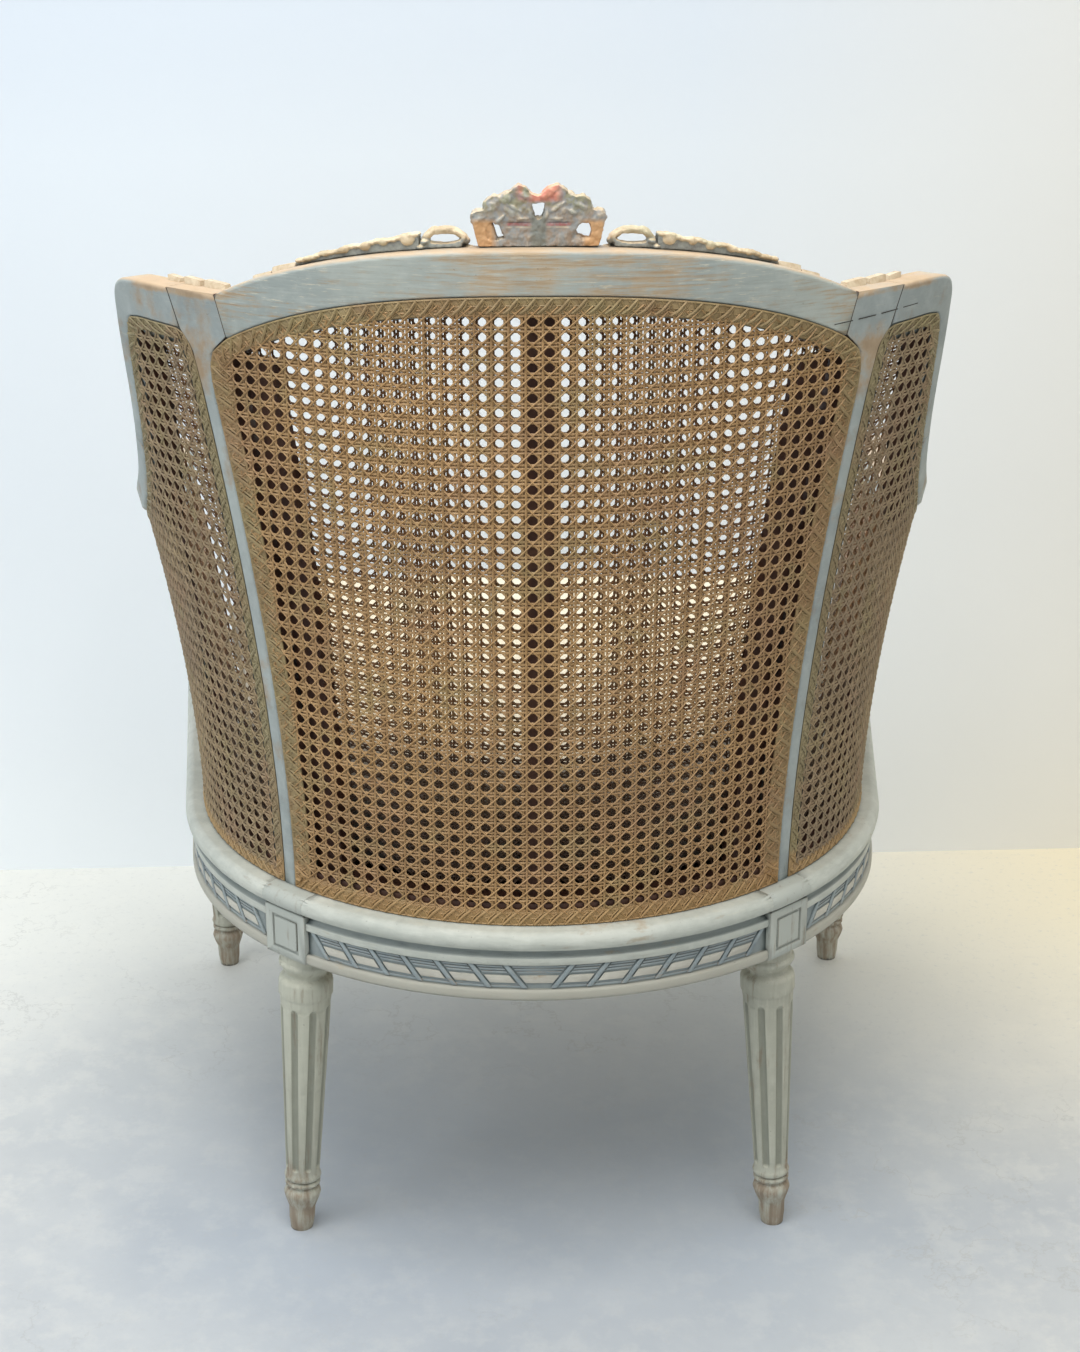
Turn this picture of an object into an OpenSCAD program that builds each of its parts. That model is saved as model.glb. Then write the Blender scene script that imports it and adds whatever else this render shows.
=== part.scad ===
// Caned gondola armchair, the seat element of a duchesse brisee, in millimetres.
// The chair faces -Y, its back is at +Y, and it stands on the plane Z = 0.
// Places on the curved shell are given by an angle round the back and a height:
// angle 0 is the middle of the back, and past side_turn the shell runs straight.

/* [Seat] */
// Overall depth of the seat, over the mouldings
seat_depth = 681; // [620:1:740]
// Plan radius of the seat rail's carved face
seat_radius = 338; // [310:1:365]
// Angle at which the rounded back becomes a straight side
side_turn = 83; // [78:1:87]
// How far the front rail bows forward of its ends
front_bow = 16; // [6:1:30]
// Height of the seat rail's top face
rail_top = 357; // [330:1:390]
// Height of the moulded seat rail
rail_h = 65; // [60:1:74]
// Width of the seat rail behind its carved face
rail_w = 62; // [59:1:70]
// Height of the rounded nose on top of the seat rail
nose_h = 18; // [14:1:20]
// How far the nose stands out past the carved face
nose_out = 6; // [3:1:9]
// Height of the hollow under the nose
cove_h = 6; // [4:1:8]
// Height of the fillet under the hollow
fillet_h = 7; // [5:1:9]
// Height of the fillet at the rail's lower edge
foot_fillet_h = 10; // [7:1:11]

/* [Legs] */
// Angle of each rear leg from the middle of the back
leg_angle = 41.8; // [38:0.1:46]
// Width of the square die over each leg
die_w = 50; // [46:1:56]
// How far a die stands out past the carved face
die_proud = 2; // [1:0.5:4]
// Greatest radius of the turned leg, at its collar and bulb
leg_r = 25; // [20:0.5:25]
// Radius of the fluted shaft at its top
shaft_top_r = 23.5; // [20:0.5:24]
// Radius of the fluted shaft at its foot
shaft_foot_r = 15.8; // [14:0.2:18]
// Radius of the foot where it meets the floor
foot_r = 10.5; // [9:0.5:12.5]
// Number of flutes round a shaft
flutes = 8; // [6:1:10]
// Radius of one flute
flute_r = 4.4; // [3:0.1:5]
// How far a rear foot stands outwards from its die
splay_side = 14.5; // [0:0.5:20]
// How far a rear foot stands backwards from its die
splay_back = 7.5; // [0:0.5:12]

/* [Back and wings] */
// Height of the crest rail at the middle, without its carving
crest_top = 938.5; // [900:1:980]
// Height of the wing rails
wing_top = 890.5; // [860:1:900]
// Height of the crest rail's face
crest_h = 36; // [30:1:42]
// Height of the wing rails' face
wing_h = 34; // [28:1:38]
// Width of the wings' front edge
wing_front_w = 17; // [14:1:20]
// Thickness of the back frame
frame_t = 30; // [26:1:34]
// Plan radius of the shell at the height of the crest
crest_radius = 479; // [440:1:510]
// Distance of the shell from the carved face, at the seat rail
shell_inset = 13; // [11:0.5:15]
// How far the back leans backwards over its height
back_rake = 6; // [0:1:12]
// Visible width of the narrow rear stiles
stile_w = 14.5; // [12:0.5:18]
// Width of the hidden lip that the cane covers
lip_w = 15; // [12:0.5:16]
// Depth of the rebate that takes the cane
rebate = 2.6; // [2.4:0.1:3.5]
// Width of the upright bars between the cane layers
upright_w = 30; // [24:1:34]
// Thickness of those bars
upright_t = 13; // [9:1:16]

/* [Arms] */
// Height of the arms' top at their front end
arm_top = 634; // [600:1:680]
// Height of an arm's section
arm_h = 24; // [20:1:28]
// How far an arm swells past the shell on each side
arm_swell = 5; // [2:0.5:8]
// Width of an arm support
support_w = 26; // [20:1:32]

/* [Cane and cushion] */
// Thickness of a cane panel
cane_t = 1.4; // [1:0.1:1.6]
// Gaps across the outer cane of the back
back_gaps = 13; // [9:1:14]
// Gaps up the outer cane of the back
back_gap_rows = 12; // [8:1:13]
// Gaps across the outer cane of a side
side_gaps = 10; // [6:1:11]
// Gaps up the outer cane of a side
side_gap_rows = 6; // [4:1:7]
// Height of the cushion's boxing, from its bed to its top edge
cushion_h = 119; // [100:1:140]
// Extra height of the cushion's crown
cushion_crown = 14; // [6:1:22]

/* [Cresting] */
// Width of the carved bow on the crest
bow_w = 106; // [90:1:120]
// Height of the carved bow above the crest
bow_h = 47; // [40:1:52]
// Thickness of the carving
bow_t = 14; // [10:1:18]
// Height of the leaf carving beside a loop
leaf_h = 12.5; // [8:0.5:16]

/* [Clearances] */
// Gap between pieces that meet at a joint line
joint_gap = 0.3; // [0.2:0.05:0.4]
// Gap round a tenon in its mortise
tenon_gap = 0.1; // [0.05:0.05:0.2]
// Gap between a cane panel and the lip behind it
sheet_gap = 1; // [0.9:0.1:1.2]
// Gap between a cane panel and the arm and wing round it
sheet_edge = 3.6; // [3.2:0.1:4]
// Gap between the cushion and the woodwork beside it
cushion_gap = 3; // [2:0.5:6]

/* [Hidden] */
$fn = 96;
front_facets = 900;
overrun = 10;

// Seat plan: v is the distance forward of the rearmost carved face
y_rear = seat_depth / 2 - nose_out;
centre_y = y_rear - seat_radius;
run_per_degree = seat_radius * PI / 180;
v_face = seat_depth - 2 * nose_out;
v_front_leg = v_face - front_bow - die_w / 2 + die_proud;
side_start_v = seat_radius * (1 - cos(side_turn));
side_len = (v_front_leg - side_start_v) / sin(side_turn);
leg_inset = die_w / 2 - die_proud;
side_face_x = seat_radius * sin(side_turn) + side_len * cos(side_turn);
x_front_leg = side_face_x - leg_inset / sin(side_turn);
front_radius = (pow(x_front_leg, 2) + pow(front_bow, 2)) / (2 * front_bow);
rear_leg_r = seat_radius - leg_inset;
rail_bottom = rail_top - rail_h;
bed_drop = 2.6;
bed_w = 13;
bed_z = rail_top - bed_drop;
seat_cane_t = 2.4;

// Seat rail section
cove_depth = 4;
frieze_depth = 2;
fillet_out = 1;
foot_fillet_out = 2;
nose_steps = 8;
die_top = rail_top - nose_h;

// Tenons and pegs
tenon_l = 18;
tenon_t = 10;
tenon_h = 38;
tenon_root = 8;
peg_r = 3;
peg_gap = 0.05;
peg_rise = 11;
peg_cover = 9;

// Panel groove on a die
groove_share = 0.66;
groove_w = 3;
groove_depth = 1.8;

// Shell
lip_root = 0.1;
edge_round = 2;
joint_edge = 0.3;
crest_round = 4;
crest_end = 35;
stile_foot_angle = 43.2;
stile_lean = 4.8;
flare_power = 1.8;
crest_power = 2.4;
wing_joint = 41.9;
lower_rail_h = 20;
crest_steps = 36;
stile_steps = 14;
stile_head_steps = 9;
sweep_steps = 3;
support_steps = 12;
lower_rail_steps = 24;
upright_steps = 10;
arm_share = 0.86;
foot_share = 0.93;
head_share = 0.75;
sway_share = 0.88;
function side_angle(share) = side_turn + side_len * share / run_per_degree;
arm_end = side_angle(arm_share);
support_foot = side_angle(foot_share);
support_head = side_angle(head_share);
support_sway = side_angle(sway_share);

wood = [0.66, 0.68, 0.63];
raw_wood = [0.42, 0.27, 0.18];
cane_colour = [0.68, 0.54, 0.36];
cream = [0.93, 0.89, 0.78];

// Shell geometry
function rise(z) = max(0, (z - rail_top) / (crest_top - rail_top));
function shell_r(z) = seat_radius - shell_inset
    + (crest_radius - seat_radius + shell_inset) * pow(rise(z), flare_power);
function shell_v(z) = shell_inset - back_rake * rise(z);
function mm_per_degree(a, z) = (a < side_turn) ? shell_r(z) * PI / 180 : run_per_degree;
function shell_pt(a, z, out) = let (
        turn = min(abs(a), side_turn),
        run = max(abs(a) - side_turn, 0) * run_per_degree,
        r = shell_r(z) + out,
        x = r * sin(turn) + run * cos(side_turn),
        v = shell_v(z) + shell_r(z) - r * cos(turn) + run * sin(side_turn))
    [sign(a) * x, y_rear - v, z];
function mix(a, b, t) = a + (b - a) * t;

// Smooth curve through a short list of stations, each a list of values
function spline(p, i, t) = let (
        n = len(p) - 1,
        a = p[max(i - 1, 0)],
        b = p[i],
        c = p[min(i + 1, n)],
        d = p[min(i + 2, n)])
    (b * 2 + (c - a) * t + (a * 2 - b * 5 + c * 4 - d) * pow(t, 2) + (b * 3 - a - c * 3 + d) * pow(t, 3)) / 2;
function smooth(p, steps, from, to) =
    [for (i = [from : to - 1], k = [0 : steps - 1]) spline(p, i, k / steps), p[to]];

// Section of a frame member as [place across, depth below the face, 1 on the face or 0 on a lip]
round_share = 0.3;
function plain_edge(at, way, r) =
    [[at, r, 1], [at + way * r * round_share, r * round_share, 1], [at + way * r, 0, 1]];
function lip_edge(at, way, lip, r = edge_round) =
    [[at - way * lip, rebate, 0], [at - way * lip_root, rebate, 0], [at, r, 1], [at + way * r, 0, 1]];
function flip(list) = [for (i = [len(list) - 1 : -1 : 0]) list[i]];

// One rib of a member: outer and inner points, for a station [angle, height, direction, swell] and a section
function rib(station, section) = let (
        a = station[0],
        z = station[1],
        across = cos(station[2]) / mm_per_degree(a, z),
        up = sin(station[2]),
        swell = station[3])
    [for (s = section) let (out = s[2] * swell - s[1]) [
        shell_pt(a + s[0] * across, z + s[0] * up, out),
        shell_pt(a + s[0] * across, z + s[0] * up, -frame_t - out)]];

// Closed skin over a row of ribs, each a list of point pairs
module skin(ribs, turned = false) {
    n = len(ribs[0]);
    m = len(ribs) - 1;
    points = [for (r = ribs, p = r, q = p) q];
    function at(i, k, side) = (i * n + k) * 2 + side;
    sides = [for (i = [0 : m - 1], k = [0 : n - 2]) each [
        [at(i, k, 0), at(i, k + 1, 0), at(i + 1, k + 1, 0)],
        [at(i, k, 0), at(i + 1, k + 1, 0), at(i + 1, k, 0)],
        [at(i, k, 1), at(i + 1, k + 1, 1), at(i, k + 1, 1)],
        [at(i, k, 1), at(i + 1, k, 1), at(i + 1, k + 1, 1)]]];
    edges = [for (i = [0 : m - 1]) each [
        [at(i, 0, 0), at(i + 1, 0, 0), at(i + 1, 0, 1)], [at(i, 0, 0), at(i + 1, 0, 1), at(i, 0, 1)],
        [at(i, n - 1, 0), at(i + 1, n - 1, 1), at(i + 1, n - 1, 0)],
        [at(i, n - 1, 0), at(i, n - 1, 1), at(i + 1, n - 1, 1)]]];
    caps = [for (k = [0 : n - 2]) each [
        [at(0, k, 0), at(0, k + 1, 1), at(0, k + 1, 0)], [at(0, k, 0), at(0, k, 1), at(0, k + 1, 1)],
        [at(m, k, 0), at(m, k + 1, 0), at(m, k + 1, 1)], [at(m, k, 0), at(m, k + 1, 1), at(m, k, 1)]]];
    faces = concat(sides, edges, caps);
    polyhedron(points, turned ? faces : [for (f = faces) flip(f)]);
}

// Crest rail
function crest_z(a) = wing_top + (crest_top - wing_top) * (1 - pow(abs(a) / crest_end, crest_power));
module crest_rail() {
    gap = joint_gap / 2 / mm_per_degree(0, wing_top);
    section = concat(plain_edge(0, 1, crest_round), flip(lip_edge(crest_h, -1, lip_w)));
    color(wood) skin([for (k = [-crest_steps : 2 : crest_steps]) let (a = (crest_end - gap) * k / crest_steps)
        rib([a, crest_z(a), -90, 0], section)], turned = true);
}

// Rear stile, with its head flared out to the crest and the wing
function stile_angle(z) = stile_foot_angle - stile_lean * pow(rise(z), 2);
crest_low = wing_top - crest_h;
wing_low = wing_top - wing_h;
head_h = 62;
head_power = 5;
function head(z, low) = pow(max(0, min(1, (z - low + head_h) / head_h)), head_power);
function stile_inner(z) = let (half = stile_w / 2 / mm_per_degree(0, z))
    mix(stile_angle(z) - half, crest_end + joint_gap / 2 / mm_per_degree(0, z), head(z, crest_low));
function stile_outer(z) = let (half = stile_w / 2 / mm_per_degree(0, z))
    mix(stile_angle(z) + half, wing_joint - joint_gap / 2 / mm_per_degree(0, z), head(z, wing_low));
stile_lip_end = wing_low - lip_w - rebate;
module rear_stile() {
    heights = concat(
        [for (k = [0 : stile_steps]) mix(rail_top, stile_lip_end - lip_root, k / stile_steps)],
        [for (k = [0 : stile_head_steps]) mix(stile_lip_end, wing_top, k / stile_head_steps)]);
    color(wood) skin([for (z = heights) let (
            a = stile_angle(z),
            lipped = z < stile_lip_end,
            lip = lipped ? lip_w : lip_root * 2,
            edge = lipped ? edge_round : mix(edge_round, joint_edge, min(1, (z - stile_lip_end) / lip_w)),
            inset = lipped ? 0 : lip,
            from = (stile_inner(z) - a) * mm_per_degree(a, z) + inset,
            to = (stile_outer(z) - a) * mm_per_degree(a, z) - inset)
        rib([a, z, 0, 0], concat(lip_edge(from, 1, lip, edge), flip(lip_edge(to, -1, lip, edge))))],
        turned = true);
}

// Wing and arm: one sweeping contour from the wing rail down to the arm's end.
// Columns: angle and height as shares, direction across in degrees, then shares of widths.
// The angle share runs from the wing joint to the arm's end, the height share from arm to wing.
contour_shares = [
    [0.000, 1.000, -90, 1.00, 1.00, 0.0], [0.047, 1.002, -92, 0.98, 1.00, 0.0],
    [0.088, 0.998, -97, 0.94, 1.00, 0.0], [0.110, 0.978, -112, 0.87, 0.80, 0.0],
    [0.126, 0.937, -135, 0.72, 0.53, 0.0], [0.138, 0.882, -155, 0.55, 0.60, 0.0],
    [0.153, 0.811, -162, 0.50, 0.87, 0.0], [0.174, 0.706, -162, 0.50, 1.00, 0.0],
    [0.204, 0.561, -158, 0.50, 1.00, 0.0], [0.241, 0.417, -150, 0.53, 1.00, 0.1],
    [0.291, 0.281, -135, 0.58, 1.00, 0.3], [0.363, 0.180, -116, 0.64, 1.00, 0.7],
    [0.478, 0.106, -103, 0.68, 1.00, 0.9], [0.640, 0.055, -97, 0.70, 1.00, 1.0],
    [0.815, 0.023, -93, 0.70, 1.00, 1.0], [1.000, 0.000, -91, 0.70, 1.00, 1.0]];
wing_last = 9;
function contour_w(share) = share >= 0.5 ? mix(wing_front_w, wing_h, (share - 0.5) * 2) : wing_front_w;
contour = [for (c = contour_shares) [
    mix(wing_joint, arm_end, c[0]), mix(arm_top, wing_top, c[1]), c[2], c[5] * arm_swell,
    contour_w(c[3]), c[4] * lip_w]];
function sweep_rib(c) = rib([c[0], c[1], c[2], c[3]],
    concat(plain_edge(0, 1, crest_round), flip(lip_edge(c[4], -1, c[5]))));
function inner_edge(c) = [c[0] + c[4] * cos(c[2]) / mm_per_degree(c[0], c[1]), c[1] + c[4] * sin(c[2])];
opening_top = [for (c = smooth(contour, sweep_steps, 0, len(contour) - 1)) inner_edge(c)];

module wing() {
    stations = smooth(contour, sweep_steps, 0, wing_last);
    start = joint_gap / 2 / mm_per_degree(0, wing_top);
    color(wood) skin([for (i = [0 : len(stations) - 1]) let (c = stations[i])
        sweep_rib(i == 0 ? [c[0] + start, c[1], c[2], c[3], c[4], c[5]] : c)], turned = true);
}

// Arm, with its rounded hand rest beyond the support; its lip stops at the support
hand_l = 32;
hand_drop = 9;
hand_lift = 8;
hand_round = 9;
hand_steps = 7;
module arm() {
    stations = smooth(contour, sweep_steps, wing_last, len(contour) - 1);
    last = stations[len(stations) - 1];
    function lip_of(c) = c[0] > support_head - support_w / run_per_degree ? lip_root * 2 : c[5];
    start = joint_gap / mm_per_degree(stations[0][0], stations[0][1]);
    along = [for (i = [0 : len(stations) - 1]) let (c = stations[i])
        [c[0] + (i == 0 ? start : 0), c[1], c[2], c[3], c[4], lip_of(c)]];
    hand = [for (k = [1 : hand_steps]) let (t = 90 * k / hand_steps, fall = 1 - cos(t)) [
        last[0] + hand_l * sin(t) / run_per_degree,
        last[1] - hand_drop * fall,
        last[2],
        last[3] - hand_round * fall,
        last[4] - (hand_drop + hand_lift) * fall,
        lip_root * 2]];
    color(wood) skin([for (c = concat(along, hand)) sweep_rib(c)], turned = true);
}

// Arm support, swept back from the seat rail to the arm
function support_angle(z) = let (t = min(1, max(0, (z - rail_top) / (arm_low - rail_top))))
    pow(1 - t, 2) * support_foot + 2 * t * (1 - t) * support_sway + pow(t, 2) * support_head;
arm_low = arm_top - arm_h;
support_waist_share = 0.3;
function support_half(z) = let (t = (z - rail_top) / (arm_low - rail_top))
    support_w / 2 * (1 - support_waist_share * sin(180 * t));
function arm_under(a) = lookup(a, opening_top);
module arm_support() {
    top = arm_under(support_head + support_w / run_per_degree) - joint_gap - lip_root * 2;
    color(wood) skin([for (k = [0 : support_steps]) let (z = mix(rail_top, top, k / support_steps))
        rib([support_angle(z), z, 0, 0], concat(lip_edge(-support_half(z), 1, lip_w),
            flip(plain_edge(support_half(z), -1, crest_round))))], turned = true);
}

// Lower rail between the cane layers, standing on the seat rail
module lower_rail(from, to) {
    section = [[0, rebate, 0], [lower_rail_h, rebate, 0]];
    color(raw_wood) skin([for (k = [0 : lower_rail_steps])
        rib([mix(from, to, k / lower_rail_steps), rail_top, 90, 0], section)]);
}
lip_degrees = lip_w / mm_per_degree(0, rail_top);
half_stile_degrees = stile_w / 2 / mm_per_degree(0, rail_top);
stile_clear = half_stile_degrees + lip_degrees + joint_gap / mm_per_degree(0, rail_top);
support_clear_share = 0.6;
support_clear = (support_w * support_clear_share + lip_w + joint_gap) / run_per_degree;
back_reach = stile_foot_angle - stile_clear;
side_reach = [stile_foot_angle + stile_clear, support_foot - support_clear];

// Upright bar between the cane layers
upright_place = 36.4;
module upright(angle, lean) {
    bottom = rail_top + lower_rail_h;
    top = crest_z(angle) - crest_h - lip_w - joint_gap;
    function at(z) = angle - lean * pow(rise(z), 2);
    color(raw_wood) skin([for (k = [0 : upright_steps]) let (
            z = mix(bottom, top, k / upright_steps),
            half = upright_w / 2 / mm_per_degree(0, z),
            face = -frame_t + rebate + upright_t)
        [for (e = [-1, 0, 1]) let (a = at(z) + e * half)
            [shell_pt(a, z, face), shell_pt(a, z, face - upright_t)]]],
        turned = true);
}

// Cane panels: a place in a panel is given by two shares, across and up
stile_gap = lip_root + joint_gap;
function back_half(z) = stile_inner(min(z, crest_low)) - stile_gap / mm_per_degree(0, z);
function back_place(across, up) = let (
        side = across * 2 - 1,
        top = crest_z(side * back_half(crest_low)) - crest_h - stile_gap,
        z = mix(rail_top, top, up))
    [side * back_half(z), z];
function side_from(z) = stile_outer(min(z, wing_low)) + stile_gap / mm_per_degree(0, z);
function side_to(z) = support_angle(z) - (support_half(min(z, arm_low)) + stile_gap) / run_per_degree;
function side_top(across, a, tries) = tries == 0 ? lookup(a, opening_top) - sheet_edge
    : let (z = lookup(a, opening_top)) side_top(across, mix(side_from(z), side_to(z), across), tries - 1);
function side_place(across, up) = let (
        top = side_top(across, mix(side_from(arm_top), side_to(arm_top), across), 12),
        z = mix(rail_top, top, up))
    [mix(side_from(z), side_to(z), across), z];
function shell_pt_of(p, face) = shell_pt(p[0], p[1], face);
outer_face = sheet_gap + cane_t - rebate;
inner_face = rebate - frame_t - sheet_gap;

// Open net of square gaps between two faces of a sheet
gap_share = 0.46;
module net(places, face) {
    rim = (1 - gap_share) / 2;
    up = len(places) - 1;
    across = len(places[0]) - 1;
    nodes = [for (row = places, p = row) p];
    holes = [for (j = [0 : up - 1], i = [0 : across - 1], q = [[0, 0], [1, 0], [1, 1], [0, 1]])
        let (u = rim + q[0] * gap_share, w = rim + q[1] * gap_share)
        mix(mix(places[j][i], places[j][i + 1], u), mix(places[j + 1][i], places[j + 1][i + 1], u), w)];
    all = concat(nodes, holes);
    count = len(all);
    base = len(nodes);
    points = concat([for (p = all) shell_pt_of(p, face)], [for (p = all) shell_pt_of(p, face - cane_t)]);
    function at(i, j) = j * (across + 1) + i;
    function hole(i, j, k) = base + (j * across + i) * 4 + k;
    function quad(a, b, c, d) = [[a, b, c], [a, c, d]];
    cells = [for (j = [0 : up - 1], i = [0 : across - 1]) let (
            c = [at(i, j), at(i + 1, j), at(i + 1, j + 1), at(i, j + 1)],
            h = [for (k = [0 : 3]) hole(i, j, k)])
        for (k = [0 : 3]) let (n = (k + 1) % 4) each concat(
            quad(c[k], c[n], h[n], h[k]),
            quad(c[k] + count, h[k] + count, h[n] + count, c[n] + count),
            quad(h[k], h[n], h[n] + count, h[k] + count))];
    border = concat([for (i = [0 : across - 1]) each concat(
            quad(at(i, 0), at(i, 0) + count, at(i + 1, 0) + count, at(i + 1, 0)),
            quad(at(i, up), at(i + 1, up), at(i + 1, up) + count, at(i, up) + count))],
        [for (j = [0 : up - 1]) each concat(
            quad(at(0, j), at(0, j + 1), at(0, j + 1) + count, at(0, j) + count),
            quad(at(across, j), at(across, j) + count, at(across, j + 1) + count, at(across, j + 1)))]);
    polyhedron(points, concat(cells, border));
}
function back_grid(across, up) =
    [for (j = [0 : up]) [for (i = [0 : across]) back_place(i / across, j / up)]];
function side_grid(across, up) =
    [for (j = [0 : up]) [for (i = [0 : across]) side_place(i / across, j / up)]];
module outer_cane_back() {
    color(cane_colour) net(back_grid(back_gaps, back_gap_rows), outer_face);
}
module outer_cane_side() {
    color(cane_colour) net(side_grid(side_gaps, side_gap_rows), outer_face);
}

// Plain inner cane sheets
inner_steps = 16;
inner_rows = 12;
module inner_sheet(places) {
    color(cane_colour) skin([for (row = places) [for (p = row) [
        shell_pt_of(p, inner_face), shell_pt_of(p, inner_face - cane_t)]]], turned = true);
}
module inner_cane_back() {
    inner_sheet(back_grid(inner_steps, inner_rows));
}
module inner_cane_side() {
    inner_sheet(side_grid(inner_steps, inner_rows));
}

// Seat rail section: x is the radius of the carved face plus the overhang, y the height
cove_low_share = 0.35;
cove_deep_share = 0.3;
fillet_edge_share = 0.25;
fillet_back_share = 0.4;
module rail_section(face_r) {
    nose_mid = rail_top - nose_h / 2;
    cove_z = rail_top - nose_h;
    fillet_z = cove_z - cove_h;
    frieze_z = fillet_z - fillet_h;
    foot_z = rail_bottom + foot_fillet_h;
    nose_r = nose_h / 2;
    nose = [for (k = [0 : nose_steps]) let (t = 90 - 180 * k / nose_steps)
        [face_r + nose_out - nose_r + nose_r * cos(t), nose_mid + nose_r * sin(t)]];
    polygon(concat(
        [[face_r - rail_w, rail_bottom], [face_r - rail_w, bed_z], [face_r - rail_w + bed_w, bed_z],
            [face_r - rail_w + bed_w, rail_top]],
        nose,
        [[face_r - cove_depth, cove_z], [face_r - cove_depth, fillet_z + cove_h * cove_low_share],
            [face_r - cove_depth * cove_deep_share, fillet_z], [face_r + fillet_out, fillet_z],
            [face_r + fillet_out, frieze_z], [face_r - frieze_depth, frieze_z],
            [face_r - frieze_depth, foot_z], [face_r + foot_fillet_out * fillet_back_share, foot_z],
            [face_r + foot_fillet_out, foot_z - foot_fillet_h * fillet_edge_share],
            [face_r + foot_fillet_out, rail_bottom + foot_fillet_h * fillet_edge_share],
            [face_r + foot_fillet_out * fillet_back_share, rail_bottom]]));
}
module arc_rail(from, to) {
    translate([0, centre_y]) rotate([0, 0, 90 - to])
        rotate_extrude(angle = to - from) rail_section(seat_radius);
}
module straight_rail(len) {
    translate([0, centre_y]) rotate([90, 0, 90 - side_turn]) linear_extrude(len) rail_section(seat_radius);
}
module front_arc(reach) {
    translate([0, y_rear - v_face + front_radius]) rotate([0, 0, -90 - reach])
        rotate_extrude(angle = 2 * reach, $fn = front_facets) rail_section(front_radius);
}

// Places of the dies: each child is drawn with its own +Y outwards from the carved face
module at_rear_die() {
    translate([0, centre_y]) rotate([0, 0, -leg_angle]) translate([0, rear_leg_r]) children();
}
module at_front_die() {
    translate([x_front_leg, y_rear - v_front_leg]) rotate([0, 0, 180]) children();
}
module die_slab(w, z_low, z_high, out) {
    translate([-w / 2, leg_inset - rail_w - overrun, z_low])
        cube([w, rail_w + overrun + out, z_high - z_low]);
}
module tenon(gap) {
    translate([-tenon_t / 2 - gap, 0, (rail_bottom + rail_top - bed_drop - tenon_h) / 2 - gap])
        cube([tenon_t + 2 * gap, tenon_root + tenon_l + gap, tenon_h + 2 * gap]);
}
// Tenons run into a die along its sides: side is -1 or 1, or 0 for one from behind
module side_tenon(side, gap) {
    translate([side * (die_w / 2 + tenon_root), 0]) rotate([0, 0, side * 90]) tenon(gap);
}
module back_tenon(gap) {
    translate([0, -die_w / 2 - tenon_root]) tenon(gap);
}
module peg_pair(len, r) {
    for (rise_by = [-peg_rise, peg_rise])
        translate([0, 0, (rail_bottom + bed_z) / 2 + rise_by]) rotate([-90, 0, 0]) cylinder(h = len, r = r);
}
peg_x = die_w / 2 - tenon_l / 2;
module rear_pegs(r) {
    for (side = [-1, 1]) translate([side * peg_x, leg_inset - rail_w]) peg_pair(rail_w - peg_cover, r);
}
module front_pegs(r) {
    translate([peg_x, -die_w / 2]) peg_pair(die_w - peg_cover, r);
    translate([die_w / 2, -peg_x]) rotate([0, 0, 90]) peg_pair(die_w - peg_cover, r);
}

module seat_rail_back() {
    color(wood) difference() {
        union() {
            difference() {
                arc_rail(-leg_angle, leg_angle);
                for (m = [0, 1]) mirror([m, 0, 0]) at_rear_die()
                    die_slab(die_w + joint_gap, rail_bottom - overrun, rail_top + overrun, overrun);
            }
            for (m = [0, 1]) mirror([m, 0, 0]) at_rear_die() side_tenon(-1, 0);
        }
        for (m = [0, 1]) mirror([m, 0, 0]) at_rear_die() rear_pegs(peg_r + peg_gap);
    }
}
front_inner_y = y_rear - v_face + front_radius
    - sqrt(pow(front_radius - rail_w, 2) - pow(x_front_leg - die_w / 2, 2));
module front_cut(x, y) {
    translate([0, y - seat_depth, rail_bottom - overrun]) cube([x, seat_depth, rail_h + 2 * overrun]);
}
module seat_rail_side() {
    color(wood) difference() {
        union() {
            difference() {
                union() {
                    arc_rail(leg_angle, side_turn);
                    straight_rail(side_len);
                }
                at_rear_die() die_slab(die_w + joint_gap, rail_bottom - overrun, rail_top + overrun, overrun);
                front_cut(seat_depth, y_rear - v_front_leg + (die_w + joint_gap) / 2);
                front_cut(x_front_leg - die_w / 2, front_inner_y + joint_gap);
            }
            at_rear_die() side_tenon(1, 0);
            at_front_die() back_tenon(0);
        }
        at_rear_die() rear_pegs(peg_r + peg_gap);
        at_front_die() front_pegs(peg_r + peg_gap);
    }
}
front_reach = asin(x_front_leg / front_radius);
module seat_rail_front() {
    color(wood) difference() {
        union() {
            difference() {
                front_arc(front_reach);
                for (m = [0, 1]) mirror([m, 0, 0])
                    translate([x_front_leg - (die_w + joint_gap) / 2, -seat_depth, rail_bottom - overrun])
                        cube([seat_depth, seat_depth, rail_h + 2 * overrun]);
            }
            for (m = [0, 1]) mirror([m, 0, 0]) at_front_die() side_tenon(1, 0);
        }
        for (m = [0, 1]) mirror([m, 0, 0]) at_front_die() front_pegs(peg_r + peg_gap);
    }
}

// Square die with a grooved panel on its face; +Y is outwards
module panel_groove() {
    side = die_w * groove_share;
    mid = (rail_bottom + die_top) / 2;
    translate([0, leg_inset + die_proud - groove_depth, mid]) rotate([-90, 0, 0])
        linear_extrude(overrun) difference() {
            square(side, center = true);
            square(side - 2 * groove_w, center = true);
        }
}

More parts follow.
